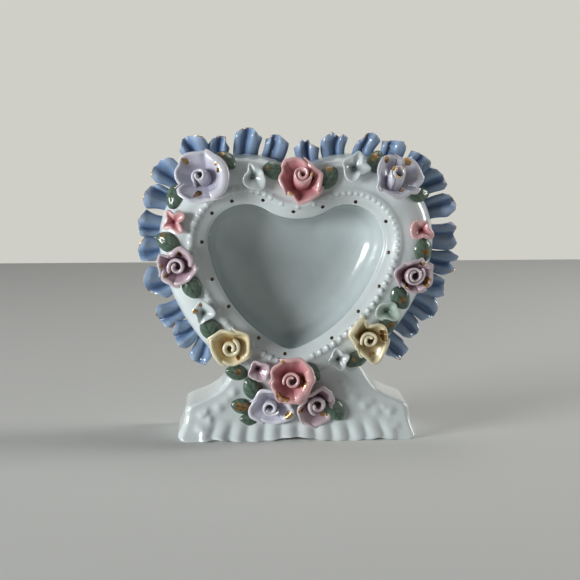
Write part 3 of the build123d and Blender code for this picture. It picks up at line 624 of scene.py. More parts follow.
# Roses: place on the ring (share, outside) or on the foot (across, height, lift, lean, bearing); the outline
# as bearing and reach in millimetres; each petal's bearing, half width, rise and own changes; gold dabs
roses = {
    "rose_pink_top": dict(glaze="pink", place=(0.005, 1.0), size=8.2,
        outline=[(17, 8.4), (37, 7.2), (72, 7.6), (84, 8.6), (127, 10.6), (153, 8.4), (168, 8.6), (191, 7.6),
                 (242, 7.4), (262, 9.0), (307, 8.2), (328, 8.2)],
        petals=[(168, 56, 3.6, dict(roll=0.7)), (96, 48, 3.9, dict(shrink=0.94)),
                (24, 60, 3.9, dict(roll=1.1)), (276, 70, 3.1, {})],
        bud=dict(at=150, radius=3.1, hole=1.0, tall=6.2, lean=(0.06, 0.42), turns=1.6),
        dabs=[(-4.1, -5.1, 1.0), (4.4, 1.4, 1.3)]),
    "rose_lavender_top_right": dict(glaze="lavender", place=(0.138, 2.6), size=9.2,
        outline=[(4, 9.9), (14, 9.4), (41, 9.1), (62, 8.8), (86, 7.6), (108, 9.2), (137, 10.8), (162, 9.5),
                 (189, 9.2), (205, 10.4), (230, 9.4), (250, 8.5), (272, 7.8), (306, 7.2), (319, 8.2),
                 (343, 8.7)],
        petals=[(36, 66, 3.0, dict(roll=1.5)), (158, 58, 3.4, {}), (266, 72, 2.5, dict(roll=1.0))],
        bud=dict(at=100, spot=(-2.0, -2.2), hole=1.7, tall=6.0, lean=(0.06, 0.66), gild=0.62,
                 flare=-0.06, thick=1.2),
        dabs=[(0.9, -4.6, 1.3), (-5.6, 6.6, 1.4), (2.4, 6.7, 1.5), (3.6, 6.0, 1.1)]),
    "rose_mauve_right": dict(glaze="mauve", place=(0.274, -1.0), size=7.0,
        outline=[(16, 7.6), (28, 8.4), (50, 7.2), (64, 8.0), (71, 6.5), (113, 5.7), (152, 7.5), (174, 7.3),
                 (212, 5.9), (244, 5.8), (273, 6.8), (289, 6.7), (334, 8.1), (349, 7.9)],
        petals=[(58, 66, 3.1, {}), (164, 58, 2.9, dict(roll=0.6)), (254, 62, 2.7, dict(roll=0.6)),
                (346, 54, 3.2, {})],
        bud=dict(at=80, radius=3.5, hole=1.35, tall=4.8, turns=1.9, lean=(0.12, 0.1), thick=1.15),
        dabs=[(-3.4, -2.0, 1.2), (-2.4, -3.8, 1.3), (6.0, -1.4, 1.5), (5.4, -3.3, 1.4), (3.7, 4.9, 1.0)]),
    "rose_yellow_right": dict(glaze="yellow", place=(0.382, -1.3), size=8.6,
        outline=[(10, 7.6), (34, 8.5), (47, 8.3), (72, 7.3), (94, 6.4), (106, 10.2), (145, 9.1), (161, 8.6),
                 (183, 6.0), (208, 5.8), (236, 6.4), (267, 7.9), (279, 9.7), (291, 9.9), (316, 8.4),
                 (341, 7.5)],
        petals=[(144, 46, 4.3, dict(roll=1.2, turn=125)), (50, 60, 3.8, dict(shrink=0.98)),
                (290, 74, 3.1, {}), (212, 40, 2.8, dict(roll=0.6))],
        bud=dict(at=30, hole=1.0, turns=1.5, lean=(0, 0.12), thick=1.4),
        dabs=[(5.4, 3.5, 1.3), (5.7, 1.7, 1.3), (6.0, 0.2, 1.0), (1.0, -6.2, 1.2), (2.2, -5.8, 1.0),
              (0.2, 0.6, 1.3)]),
    "rose_yellow_left": dict(glaze="yellow", place=(0.608, -1.9), size=7.4,
        outline=[(358, 7.7), (21, 7.9), (40, 8.2), (74, 6.8), (102, 7.4), (130, 7.9), (158, 8.9), (194, 7.3),
                 (231, 7.4), (257, 7.3), (295, 7.2), (331, 7.7)],
        petals=[(20, 66, 3.1, dict(roll=0.6)), (112, 56, 3.4, {}), (196, 60, 3.2, dict(roll=0.9)),
                (288, 66, 2.8, dict(roll=0.7))],
        bud=dict(at=-70, radius=3.3, hole=0.9, tall=5.0, thick=1.6, free=0.0),
        dabs=[(3.0, -4.6, 1.1), (-0.8, 0.6, 0.9)]),
    "rose_mauve_left": dict(glaze="mauve", place=(0.743, -0.6), size=7.2,
        outline=[(354, 7.5), (5, 6.8), (25, 7.2), (52, 8.1), (80, 7.7), (107, 6.2), (131, 5.9), (143, 8.7),
                 (173, 7.3), (199, 6.8), (219, 7.8), (246, 7.6), (269, 7.6), (303, 6.8), (331, 7.1)],
        petals=[(66, 64, 3.5, dict(roll=1.1, turn=120)), (162, 50, 3.6, dict(roll=0.7)),
                (226, 52, 3.1, dict(roll=1.0)), (312, 64, 3.1, {})],
        bud=dict(at=110, radius=3.1, hole=1.0, tall=5.0, turns=1.3, thick=1.45),
        dabs=[(0.8, 5.2, 1.5), (-4.6, -3.9, 1.0), (-6.2, 0.0, 0.8)]),
    "rose_lavender_top_left": dict(glaze="lavender", place=(0.870, 1.4), size=9.8,
        outline=[(351, 10.6), (7, 10.4), (35, 10.0), (63, 9.6), (82, 10.4), (95, 10.0), (123, 11.2),
                 (135, 11.2), (151, 10.0), (166, 10.6), (181, 9.8), (195, 8.4), (200, 10.4), (213, 11.2),
                 (235, 11.0), (247, 10.2), (254, 9.2), (279, 9.0), (300, 10.2), (325, 10.8)],
        petals=[(8, 76, 4.5, dict(roll=2.0, turn=112, ruffle=0.1)), (134, 66, 4.3, dict(roll=0.6)),
                (256, 72, 3.4, dict(roll=0.8, ruffle=0.45, phase=0.6))],
        bud=dict(at=140, radius=3.3, tall=6.2, lean=(-0.16, 0.1), flare=-0.24, turns=1.25, thick=1.35,
                 free=0.1),
        dabs=[(-6.6, 6.6, 1.6), (5.6, 4.9, 0.9), (6.5, 2.6, 1.2), (-1.8, -5.7, 1.8), (-3.2, -7.0, 1.1)]),
    "rose_pink_bottom": dict(glaze="pink", place=(-2.5, 24.0, 4.5, 4, 90), size=8.6,
        outline=[(7, 8.5), (18, 8.2), (51, 9.5), (68, 9.8), (90, 8.9), (108, 9.2), (114, 9.4), (154, 9.2),
                 (169, 8.0), (182, 8.4), (205, 7.9), (227, 8.7), (245, 8.5), (277, 8.3), (288, 8.7),
                 (311, 7.7), (333, 7.5), (353, 7.9)],
        petals=[(66, 54, 3.9, {}), (138, 48, 3.8, dict(roll=0.7)), (196, 46, 3.5, dict(roll=0.7)),
                (256, 56, 3.1, {}), (338, 62, 4.2, dict(roll=1.7, turn=125, ruffle=0.3))],
        bud=dict(at=60, radius=3.1, hole=1.1, tall=5.2, lean=(-0.05, 0.14), thick=1.3, free=0.1),
        dabs=[(4.4, 1.6, 1.1), (4.9, 0.0, 1.0), (4.6, -1.5, 1.1), (0.2, 0.2, 1.7), (-5.5, -5.0, 1.2),
              (-3.6, -6.4, 1.2), (-2.0, -6.9, 1.0), (-3.5, 8.0, 0.9)]),
    "rose_lavender_bottom_left": dict(glaze="lavender", place=(-10.0, 14.0, 0.0, 14, -130), size=7.8,
        outline=[(349, 9.4), (4, 8.0), (50, 7.7), (98, 7.6), (120, 7.8), (157, 7.0), (184, 8.6), (212, 9.2),
                 (235, 7.7), (272, 6.9), (308, 7.8), (330, 8.9)],
        petals=[(104, 66, 2.8, {}), (196, 54, 2.7, dict(roll=0.7)), (278, 66, 2.4, dict(roll=0.7)),
                (4, 56, 2.7, dict(roll=0.9))],
        bud=dict(at=200, radius=2.9, tall=5.0, thick=1.3),
        dabs=[(7.4, -2.4, 1.5), (6.4, -3.6, 1.2)]),
    "rose_lilac_bottom_right": dict(glaze="mauve", place=(6.7, 14.8, 0.0, 14, -50), size=7.6,
        outline=[(30, 7.1), (48, 8.0), (74, 8.3), (95, 6.5), (124, 6.0), (151, 5.6), (198, 8.0), (219, 8.7),
                 (245, 9.2), (262, 9.9), (283, 9.2), (304, 8.8), (319, 7.5), (358, 6.2)],
        petals=[(74, 64, 3.6, dict(roll=1.1)), (184, 58, 2.9, dict(roll=0.7)), (240, 50, 2.7, dict(roll=0.7)),
                (318, 66, 2.9, dict(roll=1.0))],
        bud=dict(at=150, radius=3.3, hole=1.25, tall=5.0, turns=1.3, thick=1.6),
        dabs=[(-6.4, -2.2, 1.4), (2.6, -4.9, 1.4), (3.8, -4.6, 1.0), (0.8, -0.3, 1.3)]),
}


def placed(place):
    return ringSeat(*place) if len(place) == 2 else footSeat(*place)


# Beads keep this far from flowers and leaves: a share of a rose's size, or millimetres
clearance = dict(rose=0.56, blossom=2.7, leaf=4.5)
# The pad's low tone is painted shade between the petals
pad = dict(radius=0.5, height=0.9, depth=0.8, tone=0.1)
phaseStep = 0.9
seats = {}
for name, rose in roses.items():
    seat, size = placed(rose["place"]), rose["size"]
    seats[name] = (seat, clearance["rose"] * size)
    whorl = [petalForm(seat, rose["outline"], rose["dabs"], *sizes, **{"phase": phaseStep * order, **more})
             for order, (*sizes, more) in enumerate(rose["petals"])]
    lift = rose["place"][2] if len(rose["place"]) > 2 else 0.0
    whorl.append(padForm(seat, pad["radius"] * size, pad["height"], pad["depth"] + lift, pad["tone"]))
    makePiece(name + "_whorl", joinForms(whorl), rose["glaze"], name + "_petals")
    makePiece(name + "_roll", budForm(seat, dabs=rose["dabs"], **rose["bud"]), rose["glaze"], name + "_bud")
print("roses ready")


# Blossom: a trumpet from a narrow throat to a wavy rim on its own outline. The reach is a share
# 0.1 + 0.9 v^1.3 of the rim's, lobes fade towards the throat, and the rim bends down where it reaches far
blossom = dict(steps=(120, 25), sunk=0.4, droop=0.35, edge=14, throatShadeTone=0.02, bodyTone=0.75, rimTone=0.22)


def blossomForm(seat, outline, tall=3.4, thick=1.0, lean=(0, 0), dabs=()):
    turn = np.linspace(0, 2 * np.pi, blossom["steps"][0], endpoint=False)[:, None]
    v = bunched(0, blossom["steps"][1])[None, :]
    rim = rimReach(outline, turn)
    shifts = range(-3, 4)
    rim = sum(np.roll(rim, step, 0) for step in shifts) / len(shifts)
    middle = rim.mean()
    out = (middle + (rim - middle) * v**1.2) * (0.1 + 0.9 * v**1.3)
    up = tall * v**0.75 - blossom["droop"] * (rim - middle) * v**2 - blossom["sunk"]
    x, y = out * np.cos(turn) + lean[0] * up, out * np.sin(turn) + lean[1] * up
    sheet = thick * edgeShare((v, blossom["edge"])) * np.minimum(1, 4 * v)
    # Tone: dark in the throat as painted shade, lighter up the trumpet and lighter again at the rim
    body, edge = blossom["bodyTone"] * eased(0.2, 0.9, v), blossom["rimTone"] * eased(0.9, 1.0, v)
    tone = blossom["throatShadeTone"] + body + edge + 0 * turn
    return thickSheet(onSeat(seat, x, y, up), sheet, True, tone, giltAt(dabs, x, y))


blossoms = {
    "blossom_white_top_right": dict(glaze="white", place=(0.080, 0.7), thick=0.9,
        outline=[(77, 7.0), (58, 5.8), (35, 2.9), (10, 5.4), (354, 6.5), (344, 5.5), (305, 3.0), (259, 6.0),
                 (240, 5.7), (186, 4.1), (157, 5.3), (100, 4.1)]),
    "blossom_pink_right": dict(glaze="pink", place=(0.210, 0.1), thick=1.5,
        outline=[(127, 4.9), (173, 4.9), (223, 4.8), (262, 2.4), (285, 2.0), (319, 5.4), (343, 5.3), (3, 3.2),
                 (25, 2.3), (58, 4.4), (74, 3.6), (100, 3.2)]),
    "blossom_green_right": dict(glaze="green", place=(0.334, -2.8),
        outline=[(50, 4.4), (90, 3.4), (131, 4.0), (182, 4.6), (214, 5.0), (250, 2.8), (280, 2.8), (319, 5.7),
                 (340, 5.6), (16, 3.8)]),
    "blossom_white_right": dict(glaze="white", place=(0.432, -2.3),
        outline=[(20, 4.6), (60, 3.0), (100, 5.0), (150, 3.0), (200, 4.4), (245, 3.0), (290, 5.0),
                 (335, 3.0)]),
    "blossom_mauve_left": dict(glaze="mauve", place=(0.560, -1.6), lean=(0.2, -0.3), tall=4.0,
        outline=[(0, 4.2), (35, 4.8), (75, 3.4), (110, 4.7), (160, 3.4), (200, 4.4), (250, 3.4), (300, 4.9),
                 (330, 3.4)]),
    "blossom_white_left": dict(glaze="white", place=(0.669, -2.1),
        outline=[(96, 5.3), (70, 4.2), (45, 4.1), (355, 4.8), (320, 3.0), (284, 2.6), (251, 4.8), (215, 2.8),
                 (188, 3.0), (167, 4.5), (135, 4.0), (114, 4.7)], dabs=[(-3.2, 1.0, 1.4), (-1.2, 3.4, 1.0)]),
    "blossom_pink_left": dict(glaze="pink", place=(0.802, 0.8), thick=1.4,
        outline=[(111, 5.3), (127, 4.9), (145, 2.5), (175, 2.5), (197, 4.2), (208, 4.9), (235, 2.6),
                 (262, 2.2), (293, 4.5), (305, 5.6), (320, 5.4), (345, 2.6), (0, 2.5), (12, 4.4), (21, 5.6),
                 (46, 5.4), (75, 3.0), (90, 3.0)]),
    "blossom_white_top_left": dict(glaze="white", place=(0.936, -1.9),
        outline=[(102, 5.8), (79, 3.2), (41, 4.2), (11, 4.0), (306, 6.4), (285, 5.0), (214, 4.4), (195, 3.9),
                 (150, 2.4), (125, 2.6)]),
}
for name, bloom in blossoms.items():
    seat = placed(bloom["place"])
    seats[name] = (seat, clearance["blossom"])
    shape = {key: value for key, value in bloom.items() if key not in ("glaze", "place")}
    makePiece(name + "_form", blossomForm(seat, **shape), bloom["glaze"], name)
print("blossoms ready")


# Leaf: u across and v along; its half width swells and narrows to a blunt tip, it is domed across, grooved
# along the midrib and raised between slanting veins
blade = dict(steps=(33, 41), thick=0.9, edges=(8, 12), groove=0.3, vein=0.07, veins=4, slant=1.4, tone=0.4)


def leafForm(seat, at, length=9.4, width=7.4, rise=2.2, lift=0.3, tip=0.3, dabs=()):
    u = bunched(-1, blade["steps"][0])[:, None]
    v = (bunched(-1, blade["steps"][1])[None, :] + 1) / 2
    half = width / 2 * (0.03 + 0.97 * np.sin(np.pi * v**0.9)**0.62)
    x = length * (v - 0.5) + 0.1 * length * np.abs(u)**1.5 * (1 - v) * v
    y = half * u
    dome = rise * (1 - 0.9 * u**2) * np.sin(np.pi * (0.1 + 0.82 * v))**0.8
    groove = blade["groove"] * np.exp(-(u / 0.14)**2) * np.sin(np.pi * v)
    slant = np.cos(2 * np.pi * (blade["veins"] * v - blade["slant"] * np.abs(u)))
    vein = blade["vein"] * slant * (1 - u**4) * np.sin(np.pi * v)
    up = lift + dome - groove + vein + tip * v**3
    turn = np.radians(at)
    across, along = x * np.cos(turn) - y * np.sin(turn), x * np.sin(turn) + y * np.cos(turn)
    sheet = blade["thick"] * edgeShare((u, blade["edges"][0]), (2 * v - 1, blade["edges"][1]))
    # Tone: lighter on the raised veins and darker between them and down the midrib groove, as painted highlight
    # and painted shade on the relief; lighter towards the edges
    tone = blade["tone"] + 1.6 * vein - 0.3 * np.exp(-(u / 0.1)**2) + 0.4 * np.abs(u)**4 + 0 * v
    mid, gilt = onSeat(seat, across, along, up), giltAt(dabs, across, along)
    return thickSheet(mid, sheet, False, np.clip(tone, 0, 1), gilt)


leaves = {
    "leaf_pink_top_right": dict(place=(0.042, -1.2), at=55, dabs=[(0.6, 3.0, 1.4)]),
    "leaf_top_right_upright": dict(place=(0.106, 4.4), at=75, dabs=[(-0.8, 1.6, 1.6), (-1.4, 0.0, 1.2)]),
    "leaf_lavender_top_right": dict(place=(0.169, 4.6), at=14, width=6.0),
    "leaf_mauve_right_upper": dict(place=(0.237, 0.9), at=90, dabs=[(0.6, -0.6, 1.5), (-0.8, -0.4, 1.2)]),
    "leaf_mauve_right_lower": dict(place=(0.309, -1.0), at=-60, dabs=[(0.4, -0.4, 1.6)]),
    "leaf_yellow_right_upper": dict(place=(0.346, 0.6), at=70, dabs=[(-0.4, -0.6, 1.5), (1.2, -0.2, 1.0)]),
    "leaf_yellow_right_lower": dict(place=(0.412, 2.4), at=-150, dabs=[(-1.6, 1.0, 1.0)]),
    "leaf_pink_bottom_right": dict(place=(0.477, -2.6), at=-40, width=6.4),
    "leaf_yellow_left_lower": dict(place=(-23.4, 26.4, -1.2, 0, 0), at=170, length=8.4, width=6.2,
                                   dabs=[(0.6, 0.4, 1.4)]),
    "leaf_yellow_left_upper": dict(place=(0.645, -0.3), at=120),
    "leaf_mauve_left_lower": dict(place=(0.709, -2.6), at=-60),
    "leaf_mauve_left_upper": dict(place=(0.775, 2.2), at=150, dabs=[(-1.2, 2.4, 1.1)]),
    "leaf_lavender_top_left_lower": dict(place=(0.829, 4.4), at=-100),
    "leaf_lavender_top_left_upper": dict(place=(0.902, 4.2), at=-40, dabs=[(-0.4, 2.2, 1.2)]),
    "leaf_pink_top_left": dict(place=(0.963, 2.2), at=180, dabs=[(-3.0, 0.2, 1.0)]),
    "leaf_bottom_right": dict(place=(14.0, 11.6, 0, 0, 0), at=-55),
    "leaf_bottom_left_upper": dict(place=(-17.2, 20.0, -0.6, 0, 0), at=120),
    "leaf_bottom_left_gold": dict(place=(-21.6, 13.2, -0.8, 0, 0), at=165, length=8.0, width=6.0,
                                  dabs=[(1.6, -0.2, 2.2), (-1.0, 0.2, 1.8)]),
    "leaf_bottom_left_lower": dict(place=(-18.6, 7.6, -1.4, 0, 0), at=170, length=7.6, width=5.4),
}
for name, leaf in leaves.items():
    seat = placed(leaf["place"])
    seats[name] = (seat, clearance["leaf"])
    shape = {key: value for key, value in leaf.items() if key != "place"}
    makePiece(name + "_form", leafForm(seat, **shape), "leaf", name)
print("leaves ready")


# Frill petal: a fan pressed into two round rolls with a valley between. It spans from its root, sunk in the
# ring, to its own rim, whose corners are given in millimetres along and out from the ring's edge. The outer
# half of a roll is part of a circle, the inner half goes over into the valley along a raised cosine. The fold
# lines sway to one side; the rim stands forward, ripples and curls back at its very edge
fan = dict(rollSteps=31, outSteps=27, turn=82, sunk=-2.5, back=1.7, forward=2.6, thick=0.9, waist=1.35,
           roll=0.54, sway=0.8, ruffle=0.6, curl=0.9, edges=(16, 14), valleyShadeTone=0.22, rollHighlightTone=0.62,
           rimTone=0.16)


def frillForm(share, valley, root, rim):
    spot, way = heartLine(share, heart["ring"])
    out = np.array([way[0], 0, way[1]])
    along = np.array([way[1], 0, -way[0]])
    limit = np.radians(fan["turn"])
    swing = np.linspace(-limit, limit, fan["rollSteps"])
    place = np.where(swing > 0, swing / limit, np.sin(swing) / np.sin(limit)) / 2 + 0.5
    circle = (np.cos(swing) - np.cos(limit)) / (1 - np.cos(limit))
    hump = np.where(swing > 0, (1 + np.cos(np.pi * swing / limit)) / 2, circle)
    u = np.concatenate([valley * place[:-1], valley + (1 - valley) * (1 - place[::-1])])[:, None]
    wide = np.where(u < valley, valley, 1 - valley)
    hump = np.concatenate([hump[:-1], hump[::-1]])[:, None]
    v = bunched(0, fan["outSteps"])[None, :]
    corners = np.array(rim)
    run = np.append(0, np.cumsum(np.hypot(*np.diff(corners, axis=0).T)))
    rimSide, rimHigh = (np.interp(u, run / run[-1], corners[:, axis]) for axis in (0, 1))
    rootSide = root[0] + (root[1] - root[0]) * u
    phase = 60 * share
    sway = fan["sway"] * np.sin(np.pi * v) * np.sin(3 * phase)
    side = rootSide + (rimSide - rootSide) * v**fan["waist"] + sway
    high = fan["sunk"] + (rimHigh - fan["sunk"]) * v
    span = np.hypot(*(corners[-1] - corners[0]))
    deep = fan["back"] - fan["forward"] * v**1.5 - fan["roll"] * span * wide * hump * (0.3 + 0.7 * v)
    deep = deep + fan["ruffle"] * np.sin(10 * u + phase) * v**3 + fan["curl"] * eased(0.78, 1, v)
    base = np.array([spot[0], 0.0, spot[1]])
    mid = base + high[..., None] * out + side[..., None] * along + deep[..., None] * np.array([0, 1.0, 0])
    sheet = fan["thick"] * edgeShare((2 * u - 1, fan["edges"][0]), (v, fan["edges"][1]))
    # Tone: dark in the valleys as painted shade, lighter over the crowns of the rolls as painted highlight, and
    # lighter again at the rim
    tone = fan["valleyShadeTone"] + fan["rollHighlightTone"] * hump * (0.7 + 0.3 * v) + fan["rimTone"] * eased(0.88, 1, v)
    gilt = 0.52 * eased(0.955, 0.985, v) * (0.8 + 0.3 * np.sin(7 * u + phase))
    return thickSheet(mid, sheet, False, tone, gilt)


# Each run's fans: share round the heart, place of the valley, ends of the root, corners of the rim
frills = {
    "frill_top_right": [
        (0.032, 0.50, (-4.6, 2.6),
         [(-4.0, 7.5), (-2.2, 8.0), (0.1, 9.4), (0.9, 7.8), (2.4, 8.2), (2.3, 6.6), (4.9, 3.5)]),
        (0.061, 0.58, (-4.7, 3.5),
         [(-5.0, 6.2), (-3.1, 7.7), (-0.4, 8.7), (1.4, 6.9), (2.0, 6.4), (3.4, 7.4), (5.4, 5.6)]),
        (0.095, 0.47, (-4.9, 2.4),
         [(-3.9, 5.2), (-2.5, 6.3), (-1.5, 8.4), (0.5, 9.0), (2.6, 8.2), (4.2, 6.5)])],
    "frill_upper_right": [
        (0.120, 0.30, (-3.6, 4.2),
         [(-5.4, 6.6), (-4.3, 7.3), (-0.9, 9.2), (1.8, 10.1), (3.8, 8.6)]),
        (0.144, 0.38, (-3.8, 4.9),
         [(-4.1, 8.8), (-1.5, 10.0), (1.4, 10.5), (3.7, 10.4), (5.4, 9.0)]),
        (0.168, 0.62, (-4.5, 3.5),
         [(-4.6, 9.1), (-2.9, 10.3), (0.4, 11.2), (2.4, 10.8), (4.1, 10.5), (5.5, 8.6)])],
    "frill_lower_right": [
        (0.195, 0.42, (-4.4, 3.0),
         [(-5.1, 7.5), (-3.7, 9.7), (-1.6, 10.8), (0.4, 11.0), (2.4, 9.8), (4.3, 6.5)]),
        (0.223, 0.42, (-4.7, 4.6),
         [(-5.1, 7.7), (-3.4, 9.3), (-1.5, 8.6), (-0.3, 8.1), (3.0, 9.2), (4.3, 8.2), (5.4, 7.4)]),
        (0.248, 0.52, (-2.9, 4.2),
         [(-4.5, 6.4), (-3.2, 10.2), (-1.6, 10.1), (0.2, 8.1), (2.2, 10.6), (5.6, 6.4)]),
        (0.280, 0.48, (-4.2, 5.2),
         [(-4.6, 3.8), (-4.2, 7.8), (-2.9, 8.5), (1.8, 9.7), (3.9, 7.5)])],
    "frill_bottom_right": [
        (0.309, 0.52, (-4.8, 4.6),
         [(-5.2, 8.3), (-3.2, 9.7), (-0.1, 10.3), (1.7, 10.2), (2.2, 8.5), (4.8, 7.0)]),
        (0.338, 0.46, (-4.4, 5.0),
         [(-3.8, 6.5), (0.2, 8.7), (1.0, 8.4), (2.9, 7.3), (4.1, 4.8)]),
        (0.366, 0.55, (-3.4, 4.2),
         [(-3.8, 5.0), (-2.7, 9.1), (-0.7, 10.0), (2.7, 10.3), (3.9, 6.5), (5.0, 5.4)])],
    "frill_bottom_left": [
        (0.626, 0.52, (-1.5, 5.2),
         [(-4.7, 2.1), (-5.3, 5.3), (-3.4, 7.0), (-0.2, 8.0), (2.2, 7.3)]),
        (0.654, 0.50, (-2.6, 4.0),
         [(-5.1, 6.6), (-2.7, 8.0), (0.1, 8.0), (3.0, 7.6), (4.1, 6.4), (6.6, 3.6)]),
        (0.684, 0.45, (-3.2, 4.0),
         [(-4.9, 6.4), (-2.7, 8.4), (0.4, 9.3), (3.2, 9.2), (5.1, 7.8), (5.5, 6.5)])],
    "frill_lower_left": [
        (0.727, 0.40, (-4.8, 2.8),
         [(-7.3, 2.3), (-4.4, 5.7), (-2.5, 8.4), (0.4, 8.9), (2.6, 8.5), (5.4, 6.7), (6.7, 4.6), (5.8, 2.9)]),
        (0.766, 0.45, (-4.0, 2.6),
         [(-4.8, 2.6), (-4.4, 7.3), (-2.2, 8.2), (-0.3, 8.3), (2.2, 7.3), (3.8, 5.9), (5.2, 4.5)]),
        (0.792, 0.35, (-4.0, 3.4),
         [(-5.7, 6.5), (-4.9, 7.2), (-0.9, 8.5), (0.3, 8.6), (2.5, 7.7), (4.7, 6.3)])],
    "frill_upper_left": [
        (0.816, 0.72, (-2.6, 4.4),
         [(-4.7, 6.2), (-3.2, 8.2), (-1.3, 9.2), (1.3, 9.4), (3.5, 8.5), (5.6, 6.3), (5.2, 5.4)]),
        (0.844, 0.38, (-3.8, 2.5),
         [(-5.9, 7.2), (-5.2, 10.3), (-2.2, 11.6), (-0.3, 11.0), (1.6, 11.4), (4.6, 9.8),
          (5.5, 8.4), (5.2, 6.9), (4.7, 4.2)]),
        (0.877, 0.33, (-4.4, 3.2),
         [(-5.4, 8.7), (-2.1, 12.2), (0.5, 12.2), (3.4, 11.0), (5.4, 9.3), (5.5, 6.9)])],
    "frill_top_left": [
        (0.901, 0.45, (-4.4, 2.4),
         [(-3.9, 6.3), (-2.1, 7.6), (0.3, 8.1), (3.0, 7.1), (2.5, 5.3), (3.3, 2.6)]),
        (0.928, 0.42, (-5.0, 4.2),
         [(-4.2, 8.0), (-3.2, 8.8), (-1.3, 9.9), (1.8, 9.9), (3.4, 8.4), (5.8, 6.1)]),
        (0.956, 0.38, (-4.2, 4.0),
         [(-4.3, 6.3), (-2.7, 7.1), (-2.8, 8.4), (-0.1, 9.2), (2.5, 8.2), (4.6, 7.3)])],
}
for name, fans in frills.items():
    makePiece(name + "_form", joinForms([frillForm(*fanSizes) for fanSizes in fans]), "blue", name)
print("frill ready")


# Places on the sloping band and its ridge, with the way out of the heart at each
def bandSpots(share, spread):
    flat, ways = heartLine(share, spread - lipShift(share, spread))
    y = bandY(spread) - ridgeRise(share, spread) + castWave(flat[:, 0], flat[:, 1])
    return np.stack([flat[:, 0], y, flat[:, 1]], -1), ways


# Beads all along the ridge, clearest towards the lower right, left out under the flowers and leaves
beads = dict(pitch=2.9, radius=1.4, height=0.6, sunk=0.45, gap=0.2, least=0.25, clearest=0.36, reach=0.1,
             tone=0.85)
beadLength = np.sum((arcs["radius"] + arcs["sign"] * case["ridgeAt"]) * np.abs(arcs["sweep"]))
beadShares = np.linspace(0, 1, round(beadLength / beads["pitch"]), endpoint=False)
spots, ways = bandSpots(beadShares, ridgeLine(beadShares))
bell = np.exp(-((beadShares - beads["clearest"]) / beads["reach"])**2)
beadHeight = beads["height"] * (beads["least"] + (1 - beads["least"]) * bell)
clear = np.array([[np.linalg.norm(spot - seat["origin"]) > reach + beads["radius"] + beads["gap"]
                   for seat, reach in seats.values()] for spot in spots]).all(1)
beadForm = domes(spots[clear], ways[clear], 0.0, beads["radius"], beadHeight[clear], beads["sunk"],
                 beads["tone"], 0.0)
makePiece("beadRow", beadForm, "white", "bead_border")

# Gold dots on the sloping band: share round the heart and distance outside the lip
dots = dict(radius=0.88, height=0.14, sunk=0.06, slope=-0.36, tone=0.0, gilt=0.9)
dotPlaces = np.array([(0.017, 2.3), (0.089, 1.3), (0.176, 2.1), (0.252, 1.9), (0.309, 3.0), (0.362, 2.15),
                      (0.423, 2.8), (0.524, 2.0), (0.583, 1.8), (0.655, 1.6), (0.707, 1.9), (0.776, 2.1),
                      (0.844, 2.5), (0.895, 2.1), (0.963, 2.9), (0.997, 2.9)])
spots, ways = bandSpots(*dotPlaces.T)
dotForm = domes(spots, ways, dots["slope"], dots["radius"], dots["height"], dots["sunk"], dots["tone"],
                dots["gilt"])
makePiece("goldDots", dotForm, "white")
print("beads and dots ready")


# Stage: a plain pale table before a pale cream room
def stagePlane(name, corners, colour):
    mesh = bpy.data.meshes.new(name)
    mesh.from_pydata(corners, [], [(0, 1, 2, 3)])
    material = bpy.data.materials.new(name)
    material.use_nodes = True
    shader = material.node_tree.nodes["Principled BSDF"]
    shader.inputs["Base Color"].default_value = colour
    shader.inputs["Roughness"].default_value = 0.9
    mesh.materials.append(material)
    plane = bpy.data.objects.new(name, mesh)
    bpy.context.scene.collection.objects.link(plane)


stagePlane("tableTop", [(-1.5, -1.5, 0), (1.5, -1.5, 0), (1.5, 0.5, 0), (-1.5, 0.5, 0)], paint(226, 227, 223))


def areaLamp(name, place, size, power, colour):
    light = bpy.data.lights.new(name, "AREA")
    light.shape = "RECTANGLE"
    light.size, light.size_y = size
    light.energy = power
    light.color = colour
    lamp = bpy.data.objects.new(name, light)
    lamp.location = place
    lamp.rotation_mode = "QUATERNION"
    lamp.rotation_quaternion = (Vector(lampTarget) - Vector(place)).to_track_quat("-Z", "Y")
    bpy.context.scene.collection.objects.link(lamp)


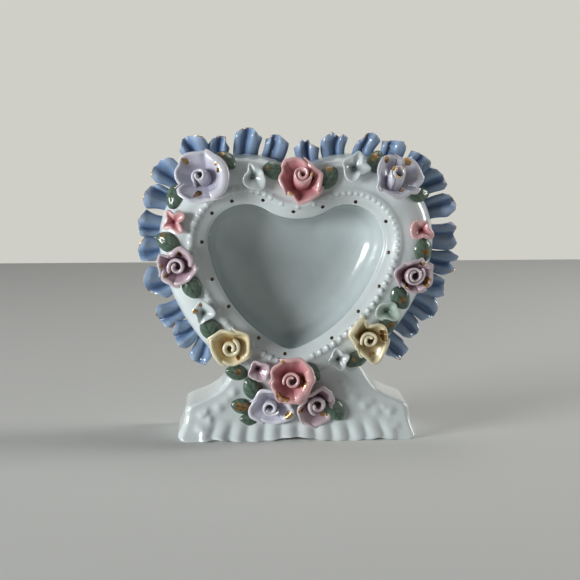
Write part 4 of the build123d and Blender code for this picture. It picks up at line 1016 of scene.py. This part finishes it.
lampTarget = (0, 0, 0.06)
areaLamp("windowLamp", place=(-0.93, -0.46, 0.17), size=(0.45, 0.3), power=10.6, colour=(0.97, 0.99, 1.0))
areaLamp("topLamp", place=(0.1, 0.2, 0.85), size=(0.6, 0.4), power=1.4, colour=(1.0, 1.0, 1.0))
areaLamp("rightLamp", place=(0.9, 0.06, 0.4), size=(0.24, 0.5), power=4.4, colour=(1.0, 0.99, 0.97))

# Room: a dim fill for the object, while the camera and mirror-like surfaces see the pale cream room itself
room = bpy.data.worlds.new("room")
bpy.context.scene.world = room
room.use_nodes = True
sky = room.node_tree
fill = sky.nodes["Background"]
feed(sky, fill, {"Color": (0.86, 0.9, 0.95, 1), "Strength": 0.02})
seen = addNode(sky, "ShaderNodeBackground", {"Color": paint(208, 207, 199)})
rays = addNode(sky, "ShaderNodeLightPath").outputs
direct = addNode(sky, "ShaderNodeMath", {0: rays["Is Camera Ray"], 1: rays["Is Glossy Ray"]},
                 operation="MAXIMUM")
shown = addNode(sky, "ShaderNodeMath", {0: direct.outputs["Value"], 1: rays["Is Transmission Ray"]},
                operation="MAXIMUM")
choice = addNode(sky, "ShaderNodeMixShader", {"Fac": shown.outputs["Value"], 1: fill.outputs["Background"],
                                              2: seen.outputs["Background"]})
feed(sky, sky.nodes["World Output"], {"Surface": choice.outputs["Shader"]})

# The camera stands before the frame, a little above it and to its left
view = dict(lens=78.4, yaw=-3, rise=9, distance=0.48, target=(-0.0029, -0.008, 0.0578))
camera = bpy.data.objects.new("camera", bpy.data.cameras.new("camera"))
camera.data.lens = view["lens"]
camera.data.sensor_width = 36
camera.data.clip_start = 0.01
yaw, rise = np.radians(view["yaw"]), np.radians(view["rise"])
back = Vector((np.sin(yaw) * np.cos(rise), -np.cos(yaw) * np.cos(rise), np.sin(rise)))
camera.location = Vector(view["target"]) + back * view["distance"]
camera.rotation_mode = "QUATERNION"
camera.rotation_quaternion = (-back).to_track_quat("-Z", "Y")
bpy.context.scene.collection.objects.link(camera)
bpy.context.scene.camera = camera
bpy.context.scene.view_settings.view_transform = "Standard"
print("stage ready")
